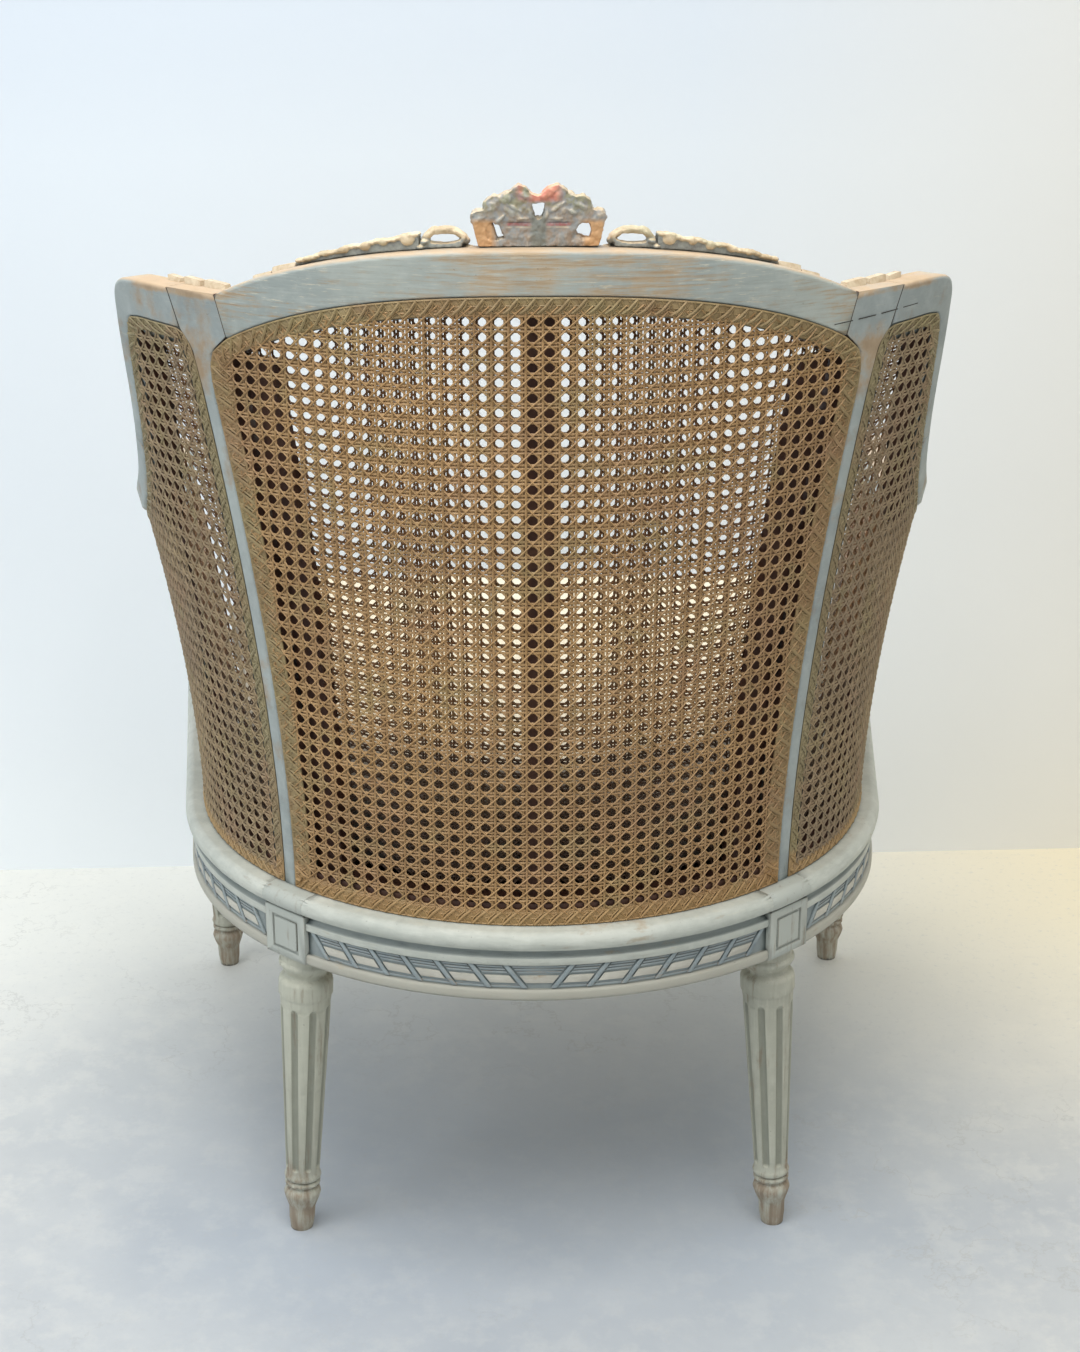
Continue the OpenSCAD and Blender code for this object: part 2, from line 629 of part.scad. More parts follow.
// Turned leg below its die, standing on its own foot at z = 0.
// Rows are [share of a radius, share of the leg's height]; the radius is the shaft's foot or leg_r.
foot_shares = [[0.76, 0.036], [0.79, 0.078], [0.90, 0.095], [1.02, 0.113], [1.10, 0.130], [1.02, 0.146],
    [0.84, 0.156], [0.90, 0.161], [1.05, 0.166], [1.05, 0.174], [0.90, 0.180], [1.05, 0.186], [1.10, 0.194],
    [1.05, 0.202]];
head_shares = [[0.94, 0.844], [1, 0.852], [1, 0.892], [0.97, 0.902], [0.88, 0.909], [0.77, 0.914],
    [0.75, 0.920], [0.79, 0.928], [0.92, 0.942], [1, 0.953], [1, 0.962], [0.93, 0.968], [0.93, 1]];
shaft_shares = [0.210, 0.836];
flute_shares = [0.235, 0.802];
flute_sunk_share = 0.45;
module turned_leg() {
    h = rail_bottom;
    rotate_extrude() polygon(concat(
        [[0, -overrun], [foot_r, -overrun], [foot_r, 0]],
        [for (p = foot_shares) [p[0] * shaft_foot_r, p[1] * h]],
        [[shaft_foot_r, h * shaft_shares[0]], [shaft_top_r, h * shaft_shares[1]]],
        [for (p = head_shares) [p[0] * leg_r, p[1] * h]],
        [[0, h]]));
}
module flute_cutters() {
    h = rail_bottom;
    low = h * flute_shares[0];
    high = h * flute_shares[1];
    taper = (shaft_top_r - shaft_foot_r) / (h * (shaft_shares[1] - shaft_shares[0]));
    lean = atan(taper);
    low_r = shaft_foot_r + (low - h * shaft_shares[0]) * taper;
    sunk = flute_r * flute_sunk_share;
    for (k = [0 : flutes - 1]) rotate([0, 0, 360 * k / flutes + 180 / flutes])
        translate([low_r + sunk, 0, low]) rotate([0, lean, 0]) {
            cylinder(h = (high - low) / cos(lean), r = flute_r);
            sphere(r = flute_r);
            translate([0, 0, (high - low) / cos(lean)]) sphere(r = flute_r);
        }
}
module leg_shaft(side, back) {
    h = rail_bottom;
    tilt = atan(norm([side, back]) / h);
    way = atan2(back, side);
    difference() {
        translate([0, 0, h]) rotate([0, 0, way]) rotate([0, -tilt, 0]) rotate([0, 0, -way])
            translate([0, 0, -h]) difference() {
                turned_leg();
                flute_cutters();
            }
        translate([-seat_radius / 2, -seat_radius / 2, -seat_radius]) cube(seat_radius);
    }
}

die_reach = 8;
module leg_rear() {
    color(wood) {
        translate([rear_leg_r * sin(leg_angle), centre_y + rear_leg_r * cos(leg_angle)])
            leg_shaft(splay_side, splay_back);
        difference() {
            union() {
                at_rear_die() die_slab_block();
                intersection() {
                    arc_rail(leg_angle - die_reach, leg_angle + die_reach);
                    at_rear_die() die_slab(die_w, die_top, rail_top + overrun, overrun);
                }
            }
            at_rear_die() {
                panel_groove();
                side_tenon(-1, tenon_gap);
                side_tenon(1, tenon_gap);
                rear_pegs(peg_r + peg_gap);
            }
        }
    }
}
module die_slab_block() {
    translate([-die_w / 2, leg_inset - rail_w, rail_bottom])
        cube([die_w, rail_w + die_proud, die_top - rail_bottom]);
}
module leg_front() {
    color(wood) {
        translate([x_front_leg, y_rear - v_front_leg]) leg_shaft(0, 0);
        difference() {
            union() {
                translate([x_front_leg - die_w / 2, y_rear - v_front_leg - die_w / 2, rail_bottom])
                    cube([die_w, die_w, die_top - rail_bottom]);
                intersection() {
                    union() {
                        straight_rail(side_len + leg_inset);
                        front_arc(front_reach * (1 + leg_inset / x_front_leg));
                    }
                    translate([x_front_leg - die_w / 2, y_rear - v_front_leg - die_w, die_top])
                        cube([die_w + leg_inset, die_w + leg_inset, nose_h]);
                }
            }
            at_front_die() {
                panel_groove();
                rotate([0, 0, 90]) panel_groove();
                side_tenon(1, tenon_gap);
                back_tenon(tenon_gap);
                front_pegs(peg_r + peg_gap);
            }
        }
    }
}
module joint_pegs() {
    color(raw_wood) for (m = [0, 1]) mirror([m, 0, 0]) {
        at_rear_die() rear_pegs(peg_r);
        at_front_die() front_pegs(peg_r);
    }
}

// Caned seat, laid in the rails' bed
seat_edge_steps = 12;
bed_r = seat_radius - rail_w + bed_w - joint_gap;
bed_front_r = front_radius - rail_w + bed_w - joint_gap;
function bed_front_y(x) = y_rear - v_face + front_radius - sqrt(pow(bed_front_r, 2) - pow(x, 2));
function bed_run(x) = (centre_y + bed_r * cos(side_turn) - bed_front_y(x)) / sin(side_turn);
bed_half = bed_r * sin(side_turn) + bed_run(bed_r) * cos(side_turn);
seat_outline = concat(
    [for (k = [-seat_edge_steps : seat_edge_steps]) let (a = side_turn * k / seat_edge_steps)
        [bed_r * sin(a), centre_y + bed_r * cos(a)]],
    [for (k = [seat_edge_steps : -1 : -seat_edge_steps]) let (x = bed_half * k / seat_edge_steps)
        [x, bed_front_y(x)]]);
module seat_cane() {
    color(cane_colour) translate([0, 0, bed_z]) linear_extrude(seat_cane_t) polygon(seat_outline);
}

// Loose cushion: rings of one outline, drawn in at the edges and crowned on top
cushion_bed = rail_top + joint_gap;
cushion_r = seat_radius - shell_inset - frame_t - cushion_gap;
cushion_front = v_face - leg_inset / 2;
cushion_turns = 14;
corner_power = 12;
cushion_reach_share = 0.92;
cushion_runs_shares = [0.25, 0.5, 0.75, 1];
cushion_nose_shares = [0.97, 0.85, 0.6, 0.3, 0, -0.3, -0.6, -0.85, -0.97];
function cushion_side(share, m) = let (run = side_len * cushion_reach_share * share)
    [m * (cushion_r * sin(side_turn) + run * cos(side_turn)),
        centre_y + cushion_r * cos(side_turn) - run * sin(side_turn)];
cushion_half = cushion_side(1, 1)[0];
cushion_nose = [for (x = cushion_nose_shares)
    [x * cushion_half, y_rear - cushion_front + front_bow * (pow(x, 2) + pow(x, corner_power))]];
cushion_outline = concat(
    [for (k = [-cushion_turns : cushion_turns]) let (a = side_turn * k / cushion_turns)
        [cushion_r * sin(a), centre_y + cushion_r * cos(a)]],
    [for (t = cushion_runs_shares) cushion_side(t, 1)],
    cushion_nose,
    [for (t = flip(cushion_runs_shares)) cushion_side(t, -1)]);
// Each level is [share of the outline, share of the boxing's height, share of the crown]
cushion_levels_shares = [[0.93, 0, 0], [0.975, 0.05, 0], [0.992, 0.16, 0], [1, 0.35, 0], [1, 0.65, 0],
    [0.992, 0.84, 0], [0.975, 0.95, 0.05], [0.93, 1, 0.22], [0.8, 1, 0.55], [0.6, 1, 0.8], [0.35, 1, 0.95]];
module seat_cushion() {
    n = len(cushion_outline);
    m = len(cushion_levels_shares);
    mid = [0, (y_rear + y_rear - v_face) / 2];
    points = concat([for (l = cushion_levels_shares, p = cushion_outline) let (q = mid + (p - mid) * l[0])
            [q[0], q[1], cushion_bed + cushion_h * l[1] + cushion_crown * l[2]]],
        [[mid[0], mid[1], cushion_bed], [mid[0], mid[1], cushion_bed + cushion_h + cushion_crown]]);
    faces = concat(
        [for (j = [0 : m - 2], i = [0 : n - 1]) let (k = (i + 1) % n) each [
            [j * n + i, j * n + k, (j + 1) * n + k], [j * n + i, (j + 1) * n + k, (j + 1) * n + i]]],
        [for (i = [0 : n - 1]) [n * m, (i + 1) % n, i]],
        [for (i = [0 : n - 1]) [n * m + 1, (m - 1) * n + i, (m - 1) * n + (i + 1) % n]]);
    color(cream) polyhedron(points, faces);
}

// Pierced cresting: a ribbon bow with a flower above it, and a small loop at each side.
// The bow's right half, as shares of half its width and of its height.
bow_y = y_rear - shell_v(crest_top) - frame_t + bow_t / 2;
bow_half_shares = [[0.88, 0], [0.93, 0.22], [0.96, 0.38], [1, 0.47], [0.98, 0.54], [0.90, 0.58],
    [0.80, 0.60], [0.77, 0.68], [0.76, 0.76], [0.66, 0.83], [0.55, 0.81], [0.44, 0.87], [0.37, 0.95],
    [0.29, 1], [0.19, 0.97], [0.11, 0.86], [0, 0.82]];
bow_eye_shares = [[0, 0.44], [0.06, 0.48], [0.09, 0.60], [0.10, 0.71], [0, 0.71]];
bow_side_shares = [[0.46, 0.08], [0.62, 0.09], [0.75, 0.12], [0.78, 0.26], [0.74, 0.38], [0.64, 0.40],
    [0.58, 0.36]];
function bow_points(shares, m) = [for (p = shares) [m * p[0] * bow_w / 2, p[1] * bow_h]];
function bow_whole(shares) = concat(bow_points(shares, 1), flip(bow_points(shares, -1)));
module bow_shape() {
    difference() {
        polygon(bow_whole(bow_half_shares));
        polygon(bow_whole(bow_eye_shares));
        for (m = [-1, 1]) polygon(bow_points(bow_side_shares, m));
    }
}
module cresting_bow() {
    color(wood) translate([0, bow_y + bow_t / 2, crest_top + joint_gap]) rotate([90, 0, 0])
        linear_extrude(bow_t) bow_shape();
}
loop_w = 36;
loop_h = 14;
loop_t_share = 0.8;
loop_wall_share = 0.24;
loop_foot_share = 0.16;
loop_gap = 5.9;
loop_angle = (bow_w / 2 + loop_gap + loop_w / 2) / mm_per_degree(0, crest_top);
ring_steps = 24;
module ring(x, y, out_w, out_h, wall) {
    function oval(w, h) = [for (k = [0 : ring_steps - 1]) let (a = 360 * k / ring_steps)
        [w * cos(a), h * sin(a)]];
    translate([x, y]) difference() {
        polygon(oval(out_w, out_h));
        polygon(oval(out_w - wall, out_h - wall));
    }
}
module cresting_loop() {
    half = loop_w / 2 / mm_per_degree(0, crest_top);
    slope = atan((crest_z(loop_angle - half) - crest_z(loop_angle + half)) / loop_w);
    top = crest_z(loop_angle);
    p = shell_pt(loop_angle, top, -frame_t + bow_t / 2);
    color(wood) translate([p[0], p[1], top + joint_gap]) rotate([0, slope, -loop_angle]) rotate([90, 0, 0])
        linear_extrude(bow_t * loop_t_share, center = true) {
            ring(0, loop_h / 2, loop_w / 2, loop_h / 2, loop_h * loop_wall_share);
            translate([0, loop_h * loop_foot_share / 2])
                square([loop_w * loop_t_share, loop_h * loop_foot_share], center = true);
        }
}

// Leaf carving along the front of the crest, falling from a loop to a low end
leaf_gap = 2;
leaf_from = loop_angle + (loop_w / 2 + leaf_gap) / mm_per_degree(0, crest_top);
leaf_to = 25;
leaf_t_share = 0.75;
leaf_end_share = 0.3;
leaf_power = 0.8;
leaf_steps = 14;
module cresting_leaf() {
    back = -frame_t + crest_round + bow_t * leaf_t_share;
    front = -frame_t + crest_round;
    color(wood) skin([for (k = [0 : leaf_steps]) let (
            t = k / leaf_steps,
            a = mix(leaf_from, leaf_to, t),
            low = crest_z(a) + joint_gap,
            high = low + leaf_h * mix(1, leaf_end_share, pow(t, leaf_power)))
        [for (z = [low, high]) [shell_pt(a, z, back), shell_pt(a, z, front)]]]);
}

seat_rail_back();
seat_rail_side();  // seat_rail_left
mirror([1, 0, 0]) seat_rail_side();  // seat_rail_right
seat_rail_front();
leg_rear();  // leg_rear_left
mirror([1, 0, 0]) leg_rear();  // leg_rear_right
leg_front();  // leg_front_left
mirror([1, 0, 0]) leg_front();  // leg_front_right
joint_pegs();
lower_rail(-back_reach, back_reach);  // lower_rail_back
lower_rail(side_reach[0], side_reach[1]);  // lower_rail_left
mirror([1, 0, 0]) lower_rail(side_reach[0], side_reach[1]);  // lower_rail_right
rear_stile();  // rear_stile_left
mirror([1, 0, 0]) rear_stile();  // rear_stile_right
crest_rail();
wing();  // wing_left
mirror([1, 0, 0]) wing();  // wing_right
arm();  // arm_left
mirror([1, 0, 0]) arm();  // arm_right
arm_support();  // arm_support_left
mirror([1, 0, 0]) arm_support();  // arm_support_right
upright(0, 0);  // upright_centre
upright(upright_place, stile_lean);  // upright_left
mirror([1, 0, 0]) upright(upright_place, stile_lean);  // upright_right
outer_cane_back();
outer_cane_side();  // outer_cane_left
mirror([1, 0, 0]) outer_cane_side();  // outer_cane_right
inner_cane_back();
inner_cane_side();  // inner_cane_left
mirror([1, 0, 0]) inner_cane_side();  // inner_cane_right
seat_cane();
seat_cushion();
cresting_bow();
cresting_loop();  // cresting_loop_left
mirror([1, 0, 0]) cresting_loop();  // cresting_loop_right
cresting_leaf();  // cresting_leaf_left
mirror([1, 0, 0]) cresting_leaf();  // cresting_leaf_right
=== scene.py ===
"""Looks of a painted, double-caned gondola armchair with a loose seat cushion.

Metres, +Z up. The chair faces -Y and its caned back is at +Y, so the "left" pieces are at +X.
Shapes on the shell of the back are laid out flat first, in millimetres, and then bent onto it.
"""
import math

import bmesh
import bpy
from mathutils import Matrix, Vector, noise
from mathutils.bvhtree import BVHTree


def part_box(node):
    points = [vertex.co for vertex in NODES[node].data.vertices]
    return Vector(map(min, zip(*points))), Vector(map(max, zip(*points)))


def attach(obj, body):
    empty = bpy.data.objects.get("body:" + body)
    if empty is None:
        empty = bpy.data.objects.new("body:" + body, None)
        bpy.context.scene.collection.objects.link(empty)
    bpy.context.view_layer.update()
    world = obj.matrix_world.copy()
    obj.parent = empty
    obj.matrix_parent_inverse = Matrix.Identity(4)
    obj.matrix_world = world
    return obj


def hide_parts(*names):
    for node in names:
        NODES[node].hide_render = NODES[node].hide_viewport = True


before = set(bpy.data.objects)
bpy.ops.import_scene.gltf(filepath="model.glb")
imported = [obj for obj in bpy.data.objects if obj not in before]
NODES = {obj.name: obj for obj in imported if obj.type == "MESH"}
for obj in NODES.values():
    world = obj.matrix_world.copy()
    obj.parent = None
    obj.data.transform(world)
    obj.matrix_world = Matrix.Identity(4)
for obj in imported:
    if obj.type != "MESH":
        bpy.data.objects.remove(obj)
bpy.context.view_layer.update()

MM = 0.001

# Sizes of the construction model, in millimetres and degrees
SEAT_DEPTH, SEAT_RADIUS, SIDE_TURN = 681.0, 338.0, 83.0
NOSE_OUT, SHELL_INSET, BACK_RAKE = 6.0, 13.0, 6.0
RAIL_TOP, RAIL_H, CREST_TOP, WING_TOP = 357.0, 65.0, 938.5, 890.5
CREST_H, WING_H, WING_FRONT_W, STILE_W = 36.0, 34.0, 17.0, 14.5
CREST_RADIUS, CREST_END, CREST_POWER, FLARE_POWER = 479.0, 35.0, 2.4, 1.8
STILE_FOOT, STILE_LEAN, WING_JOINT = 43.2, 4.8, 41.9
HEAD_H, HEAD_POWER = 62.0, 5
ARM_TOP, ARM_H, SUPPORT_W = 634.0, 24.0, 26.0
LEG_ANGLE, DIE_W, FRONT_BOW = 41.8, 50.0, 16.0
Y_REAR = SEAT_DEPTH / 2 - NOSE_OUT
CENTRE_Y = Y_REAR - SEAT_RADIUS
RUN_DEG = SEAT_RADIUS * math.pi / 180
V_FRONT_LEG = SEAT_DEPTH - 2 * NOSE_OUT - FRONT_BOW - DIE_W / 2 + 2
BEND = math.radians(SIDE_TURN)
SIDE_LEN = (V_FRONT_LEG - SEAT_RADIUS * (1 - math.cos(BEND))) / math.sin(BEND)
X_FRONT_LEG = SEAT_RADIUS * math.sin(BEND) + SIDE_LEN * math.cos(BEND) - (DIE_W / 2 - 2) / math.sin(BEND)
FRONT_RADIUS = (X_FRONT_LEG ** 2 + FRONT_BOW ** 2) / (2 * FRONT_BOW)
# Top edge of wing and arm: shares of the way from the wing's joint to the arm's end and of the height from the
# arm's top to the wing's, the direction in degrees from there to the opening's edge, and a share for the width
CONTOUR = [
    [0.0, 1.0, -90, 1.0], [0.047, 1.002, -92, 0.98], [0.088, 0.998, -97, 0.94], [0.11, 0.978, -112, 0.87],
    [0.126, 0.937, -135, 0.72], [0.138, 0.882, -155, 0.55], [0.153, 0.811, -162, 0.5],
    [0.174, 0.706, -162, 0.5], [0.204, 0.561, -158, 0.5], [0.241, 0.417, -150, 0.53],
    [0.291, 0.281, -135, 0.58], [0.363, 0.18, -116, 0.64], [0.478, 0.106, -103, 0.68],
    [0.64, 0.055, -97, 0.7], [0.815, 0.023, -93, 0.7], [1.0, 0.0, -91, 0.7]]


def sin(degrees):
    return math.sin(math.radians(degrees))


def cos(degrees):
    return math.cos(math.radians(degrees))


def mix(a, b, t):
    return a + (b - a) * t


def clamp(t):
    return max(0.0, min(1.0, t))


def evenly(a, b, steps):
    return [mix(a, b, k / steps) for k in range(steps + 1)]


# ------------ the shell

def rise(z):
    return max(0.0, (z - RAIL_TOP) / (CREST_TOP - RAIL_TOP))


def shell_radius(z):
    foot = SEAT_RADIUS - SHELL_INSET
    return foot + (CREST_RADIUS - foot) * rise(z) ** FLARE_POWER


def shell(angle, z, out):
    """Point of the shell, in metres, at an angle, a height and a distance outwards."""
    turn = min(abs(angle), SIDE_TURN)
    run = max(abs(angle) - SIDE_TURN, 0) * RUN_DEG
    r = shell_radius(z) + out
    x = r * sin(turn) + run * cos(SIDE_TURN)
    v = SHELL_INSET - BACK_RAKE * rise(z) + shell_radius(z) - r * cos(turn) + run * sin(SIDE_TURN)
    return Vector((math.copysign(x, angle), Y_REAR - v, z)) * MM


def shell_out(p):
    """How far a point, in millimetres, lies outside the shell's face."""
    r = shell_radius(p.z)
    x, y = abs(p.x), p.y - Y_REAR + SHELL_INSET - BACK_RAKE * rise(p.z) + r
    return math.hypot(x, y) - r if y > x / math.tan(BEND) else x * sin(SIDE_TURN) + y * cos(SIDE_TURN) - r


def degree_mm(angle, z):
    return shell_radius(z) * math.pi / 180 if angle < SIDE_TURN else RUN_DEG


def crest_z(angle):
    return WING_TOP + (CREST_TOP - WING_TOP) * (1 - (abs(angle) / CREST_END) ** CREST_POWER)


def head(z, low):
    return clamp((z - low + HEAD_H) / HEAD_H) ** HEAD_POWER


def stile_edge(z, way):
    """Angle of the stile's inner edge for way -1, and of its outer edge for way 1."""
    middle = STILE_FOOT - STILE_LEAN * rise(z) ** 2
    low = WING_TOP - (CREST_H if way < 0 else WING_H)
    top = CREST_END if way < 0 else WING_JOINT
    return mix(middle + way * STILE_W / 2 / degree_mm(0, z), top, head(z, low))


def spline(rows, steps):
    """Catmull-Rom stations through the rows of a short list."""
    last = len(rows) - 1
    made = []
    for i in range(last):
        a, b, c, d = rows[max(i - 1, 0)], rows[i], rows[i + 1], rows[min(i + 2, last)]
        for k in range(steps):
            t = k / steps
            made.append([(2 * q + (r - p) * t + (2 * p - 5 * q + 4 * r - s) * t * t
                          + (3 * q - p - 3 * r + s) * t ** 3) / 2 for p, q, r, s in zip(a, b, c, d)])
    return made + [list(rows[last])]


ARM_END = SIDE_TURN + SIDE_LEN * 0.86 / RUN_DEG
SUPPORT_FOOT = SIDE_TURN + SIDE_LEN * 0.93 / RUN_DEG
SUPPORT_HEAD = SIDE_TURN + SIDE_LEN * 0.75 / RUN_DEG
SUPPORT_SWAY = SIDE_TURN + SIDE_LEN * 0.88 / RUN_DEG
SWEEP = spline([[mix(WING_JOINT, ARM_END, along), mix(ARM_TOP, WING_TOP, up), turn,
                 mix(WING_FRONT_W, WING_H, (share - 0.5) * 2)] for along, up, turn, share in CONTOUR], 4)
OPENING = [(a + w * cos(turn) / degree_mm(a, z), z + w * sin(turn)) for a, z, turn, w in SWEEP]


def support_edge(z):
    t = clamp((z - RAIL_TOP) / (ARM_TOP - ARM_H - RAIL_TOP))
    middle = (1 - t) ** 2 * SUPPORT_FOOT + 2 * t * (1 - t) * SUPPORT_SWAY + t * t * SUPPORT_HEAD
    return middle - SUPPORT_W / 2 * (1 - 0.3 * sin(180 * t)) / RUN_DEG


def rail_face(s, z, out):
    """Point on the carved face of the back and side rails, s millimetres round from the back's middle."""
    turn = min(abs(s) / SEAT_RADIUS, BEND)
    run = max(abs(s) - SEAT_RADIUS * BEND, 0)
    r = SEAT_RADIUS + out
    x = r * math.sin(turn) + run * math.cos(BEND)
    return Vector((math.copysign(x, s), CENTRE_Y + r * math.cos(turn) - run * math.sin(BEND), z)) * MM


def front_face(s, z, out):
    """Point on the carved face of the front rail, s millimetres from its middle."""
    turn, r = s / FRONT_RADIUS, FRONT_RADIUS + out
    middle = Y_REAR - SEAT_DEPTH + 2 * NOSE_OUT + FRONT_RADIUS
    return Vector((r * math.sin(turn), middle - r * math.cos(turn), z)) * MM


# ------------ flat layouts

def back_spot(s, z):
    """Angle of a place on the back, s millimetres along the shell from its middle."""
    return s / degree_mm(0, z)


def side_spot(s, z):
    """Angle of a place on a side, s millimetres along the shell from the stile's outer edge."""
    start = stile_edge(min(z, WING_TOP - WING_H), 1)
    bend = (SIDE_TURN - start) * degree_mm(0, z)
    return start + s / degree_mm(0, z) if s < bend else SIDE_TURN + (s - bend) / RUN_DEG


def side_flat(angle, z):
    """The opposite of side_spot."""
    start = stile_edge(min(z, WING_TOP - WING_H), 1)
    if angle < SIDE_TURN:
        return (angle - start) * degree_mm(0, z)
    return (SIDE_TURN - start) * degree_mm(0, z) + (angle - SIDE_TURN) * RUN_DEG


def back_outline():
    """Flat outline of the back's caned panel, counter-clockwise from the foot of its left stile."""
    half = [(stile_edge(z, -1) * degree_mm(0, z), z) for z in evenly(RAIL_TOP, WING_TOP - CREST_H, 40)]
    end = half[-1][0] / degree_mm(0, WING_TOP - CREST_H)
    top = [(a * degree_mm(0, crest_z(a) - CREST_H), crest_z(a) - CREST_H) for a in evenly(end, -end, 30)[1:]]
    right = [(-s, z) for s, z in reversed(half[:-1])]
    foot = [(s, RAIL_TOP) for s in evenly(right[-1][0], half[0][0], 30)[1:-1]]
    return half + top + right + foot


def side_outline():
    """Flat outline of a side's caned panel, from the foot of the stile up, over and down the arm support."""
    up = [(0.0, z) for z in evenly(RAIL_TOP, WING_TOP - WING_H - 2, 40)]
    over = [(side_flat(a, z), z) for a, z in OPENING if a > stile_edge(WING_TOP - WING_H, 1) + 0.4]
    crossing = next(i for i, (a, z) in enumerate(OPENING) if a > support_edge(z))
    over = over[:crossing - len(OPENING)]
    down = [(side_flat(support_edge(z), z), z) for z in evenly(over[-1][1], RAIL_TOP, 24)[1:]]
    foot = [(s, RAIL_TOP) for s in evenly(down[-1][0], 0, 30)[1:-1]]
    return up + over + down + foot


def even_path(outline, step):
    """A closed outline's points at equal steps, with their inward directions."""
    closed = [Vector(p) for p in outline]
    closed.append(closed[0])
    lengths = [0.0]
    for a, b in zip(closed, closed[1:]):
        lengths.append(lengths[-1] + (b - a).length)
    count = round(lengths[-1] / step)
    points, i = [], 0
    for k in range(count):
        want = lengths[-1] * k / count
        while lengths[i + 1] < want:
            i += 1
        t = (want - lengths[i]) / max(lengths[i + 1] - lengths[i], 1e-9)
        points.append(closed[i].lerp(closed[i + 1], t))
    area = sum(a.x * b.y - b.x * a.y for a, b in zip(points, points[1:] + points[:1]))
    way = 1 if area > 0 else -1
    inward = []
    for k in range(count):
        along = Vector((0.0, 0.0))
        for d in range(1, 4):
            along += points[(k + d) % count] - points[k - d]
        along.normalize()
        inward.append(Vector((-along.y, along.x)) * way)
    return points, inward


def inside(outline):
    """A test of flat places against a closed outline, with the crossings at each height kept."""
    known = {}

    def test(s, z):
        height = round(z, 3)
        if height not in known:
            known[height] = [(bx - ax) * (height - ay) / (by - ay) + ax
                             for (ax, ay), (bx, by) in zip(outline, outline[1:] + outline[:1])
                             if (ay > height) != (by > height)]
        return sum(crossing > s for crossing in known[height]) % 2 == 1
    return test


# ------------ modelling helpers

def deselect():
    if bpy.context.object and bpy.context.object.mode != "OBJECT":
        bpy.ops.object.mode_set(mode="OBJECT")
    bpy.ops.object.select_all(action="DESELECT")


def take(obj):
    deselect()
    obj.select_set(True)
    bpy.context.view_layer.objects.active = obj
    return obj


def bar(low, high, edge, segments=2):
    """A bevelled box between two corners, in millimetres, with its place in its mesh."""
    deselect()
    low, high = Vector(low), Vector(high)
    bpy.ops.mesh.primitive_cube_add(size=1, location=(low + high) / 2 * MM)
    made = bpy.context.object
    made.scale = (high - low) * MM
    bpy.ops.object.transform_apply()
    return modified(made, "BEVEL", width=edge * MM, segments=segments)


def linked(name, data):
    made = bpy.data.objects.new(name, data)
    bpy.context.scene.collection.objects.link(made)
    return made


def copy_of(obj, name):
    return linked(name, obj.data.copy())


def cad_copy(node, name):
    return merged(copy_of(NODES[node], name))


def flat_object(name, verts, faces):
    mesh = bpy.data.meshes.new(name)
    mesh.from_pydata(verts, [], faces)
    return linked(name, mesh)


def joined(name, parts):
    deselect()
    for p in parts:
        p.select_set(True)
    bpy.context.view_layer.objects.active = parts[0]
    if len(parts) > 1:
        bpy.ops.object.join()
    parts[0].name = name
    return parts[0]


def modified(obj, kind, **settings):
    """Adds a modifier and applies it."""
    take(obj)
    m = obj.modifiers.new(kind.title(), kind)
    for key, value in settings.items():
        setattr(m, key, value)
    bpy.ops.object.modifier_apply(modifier=m.name)
    return obj


def merged(obj, distance=0.00002, outward=False):
    take(obj)
    bpy.ops.object.mode_set(mode="EDIT")
    bpy.ops.mesh.select_all(action="SELECT")
    bpy.ops.mesh.remove_doubles(threshold=distance)
    if outward:
        bpy.ops.mesh.normals_make_consistent(inside=False)
    bpy.ops.object.mode_set(mode="OBJECT")
    return obj


def smooth(obj, degrees=38):
    take(obj)
    bpy.ops.object.shade_smooth_by_angle(angle=math.radians(degrees))
    return obj


def bent(obj, place):
    """Moves each vertex of a flat layout, in millimetres, to where place puts it, in metres."""
    for v in obj.data.vertices:
        v.co = place(v.co / MM)
    obj.data.update()
    return obj


def flipped(obj):
    obj.data.transform(Matrix.Diagonal((-1, 1, 1, 1)))
    obj.data.flip_normals()
    return obj


def mirrored(obj, name):
    """A copy with its own mesh on the other side of the chair."""
    return flipped(copy_of(obj, name))


def grounded(obj, floor):
    """Lifts what hangs below a height, in metres, up to it."""
    for v in obj.data.vertices:
        v.co.z = max(v.co.z, floor)


def cut_away(obj, keep):
    """Removes the faces whose flat middle, in millimetres, keep doesn't want."""
    bm = bmesh.new()
    bm.from_mesh(obj.data)
    gone = [f for f in bm.faces if not keep(f.calc_center_median() / MM)]
    bmesh.ops.delete(bm, geom=gone, context="FACES")
    bm.to_mesh(obj.data)
    bm.free()
    return obj


def coloured(obj, material):
    obj.data.materials.clear()
    obj.data.materials.append(material)


def finished(obj, material, *nodes, slot="painted_wood"):
    """Gives a new piece its material and body, and hides the CAD nodes it stands for. The slot argument is not
    used.
    """
    coloured(obj, material)
    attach(obj, "root")
    if nodes:
        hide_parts(*nodes)


# ------------ materials

def rgb(r, g, b):
    """Linear colour of a colour read off a picture, 0 to 255."""
    shares = [c / 255 for c in (r, g, b)]
    return (*(c / 12.92 if c <= 0.04 else ((c + 0.055) / 1.055) ** 2.4 for c in shares), 1.0)


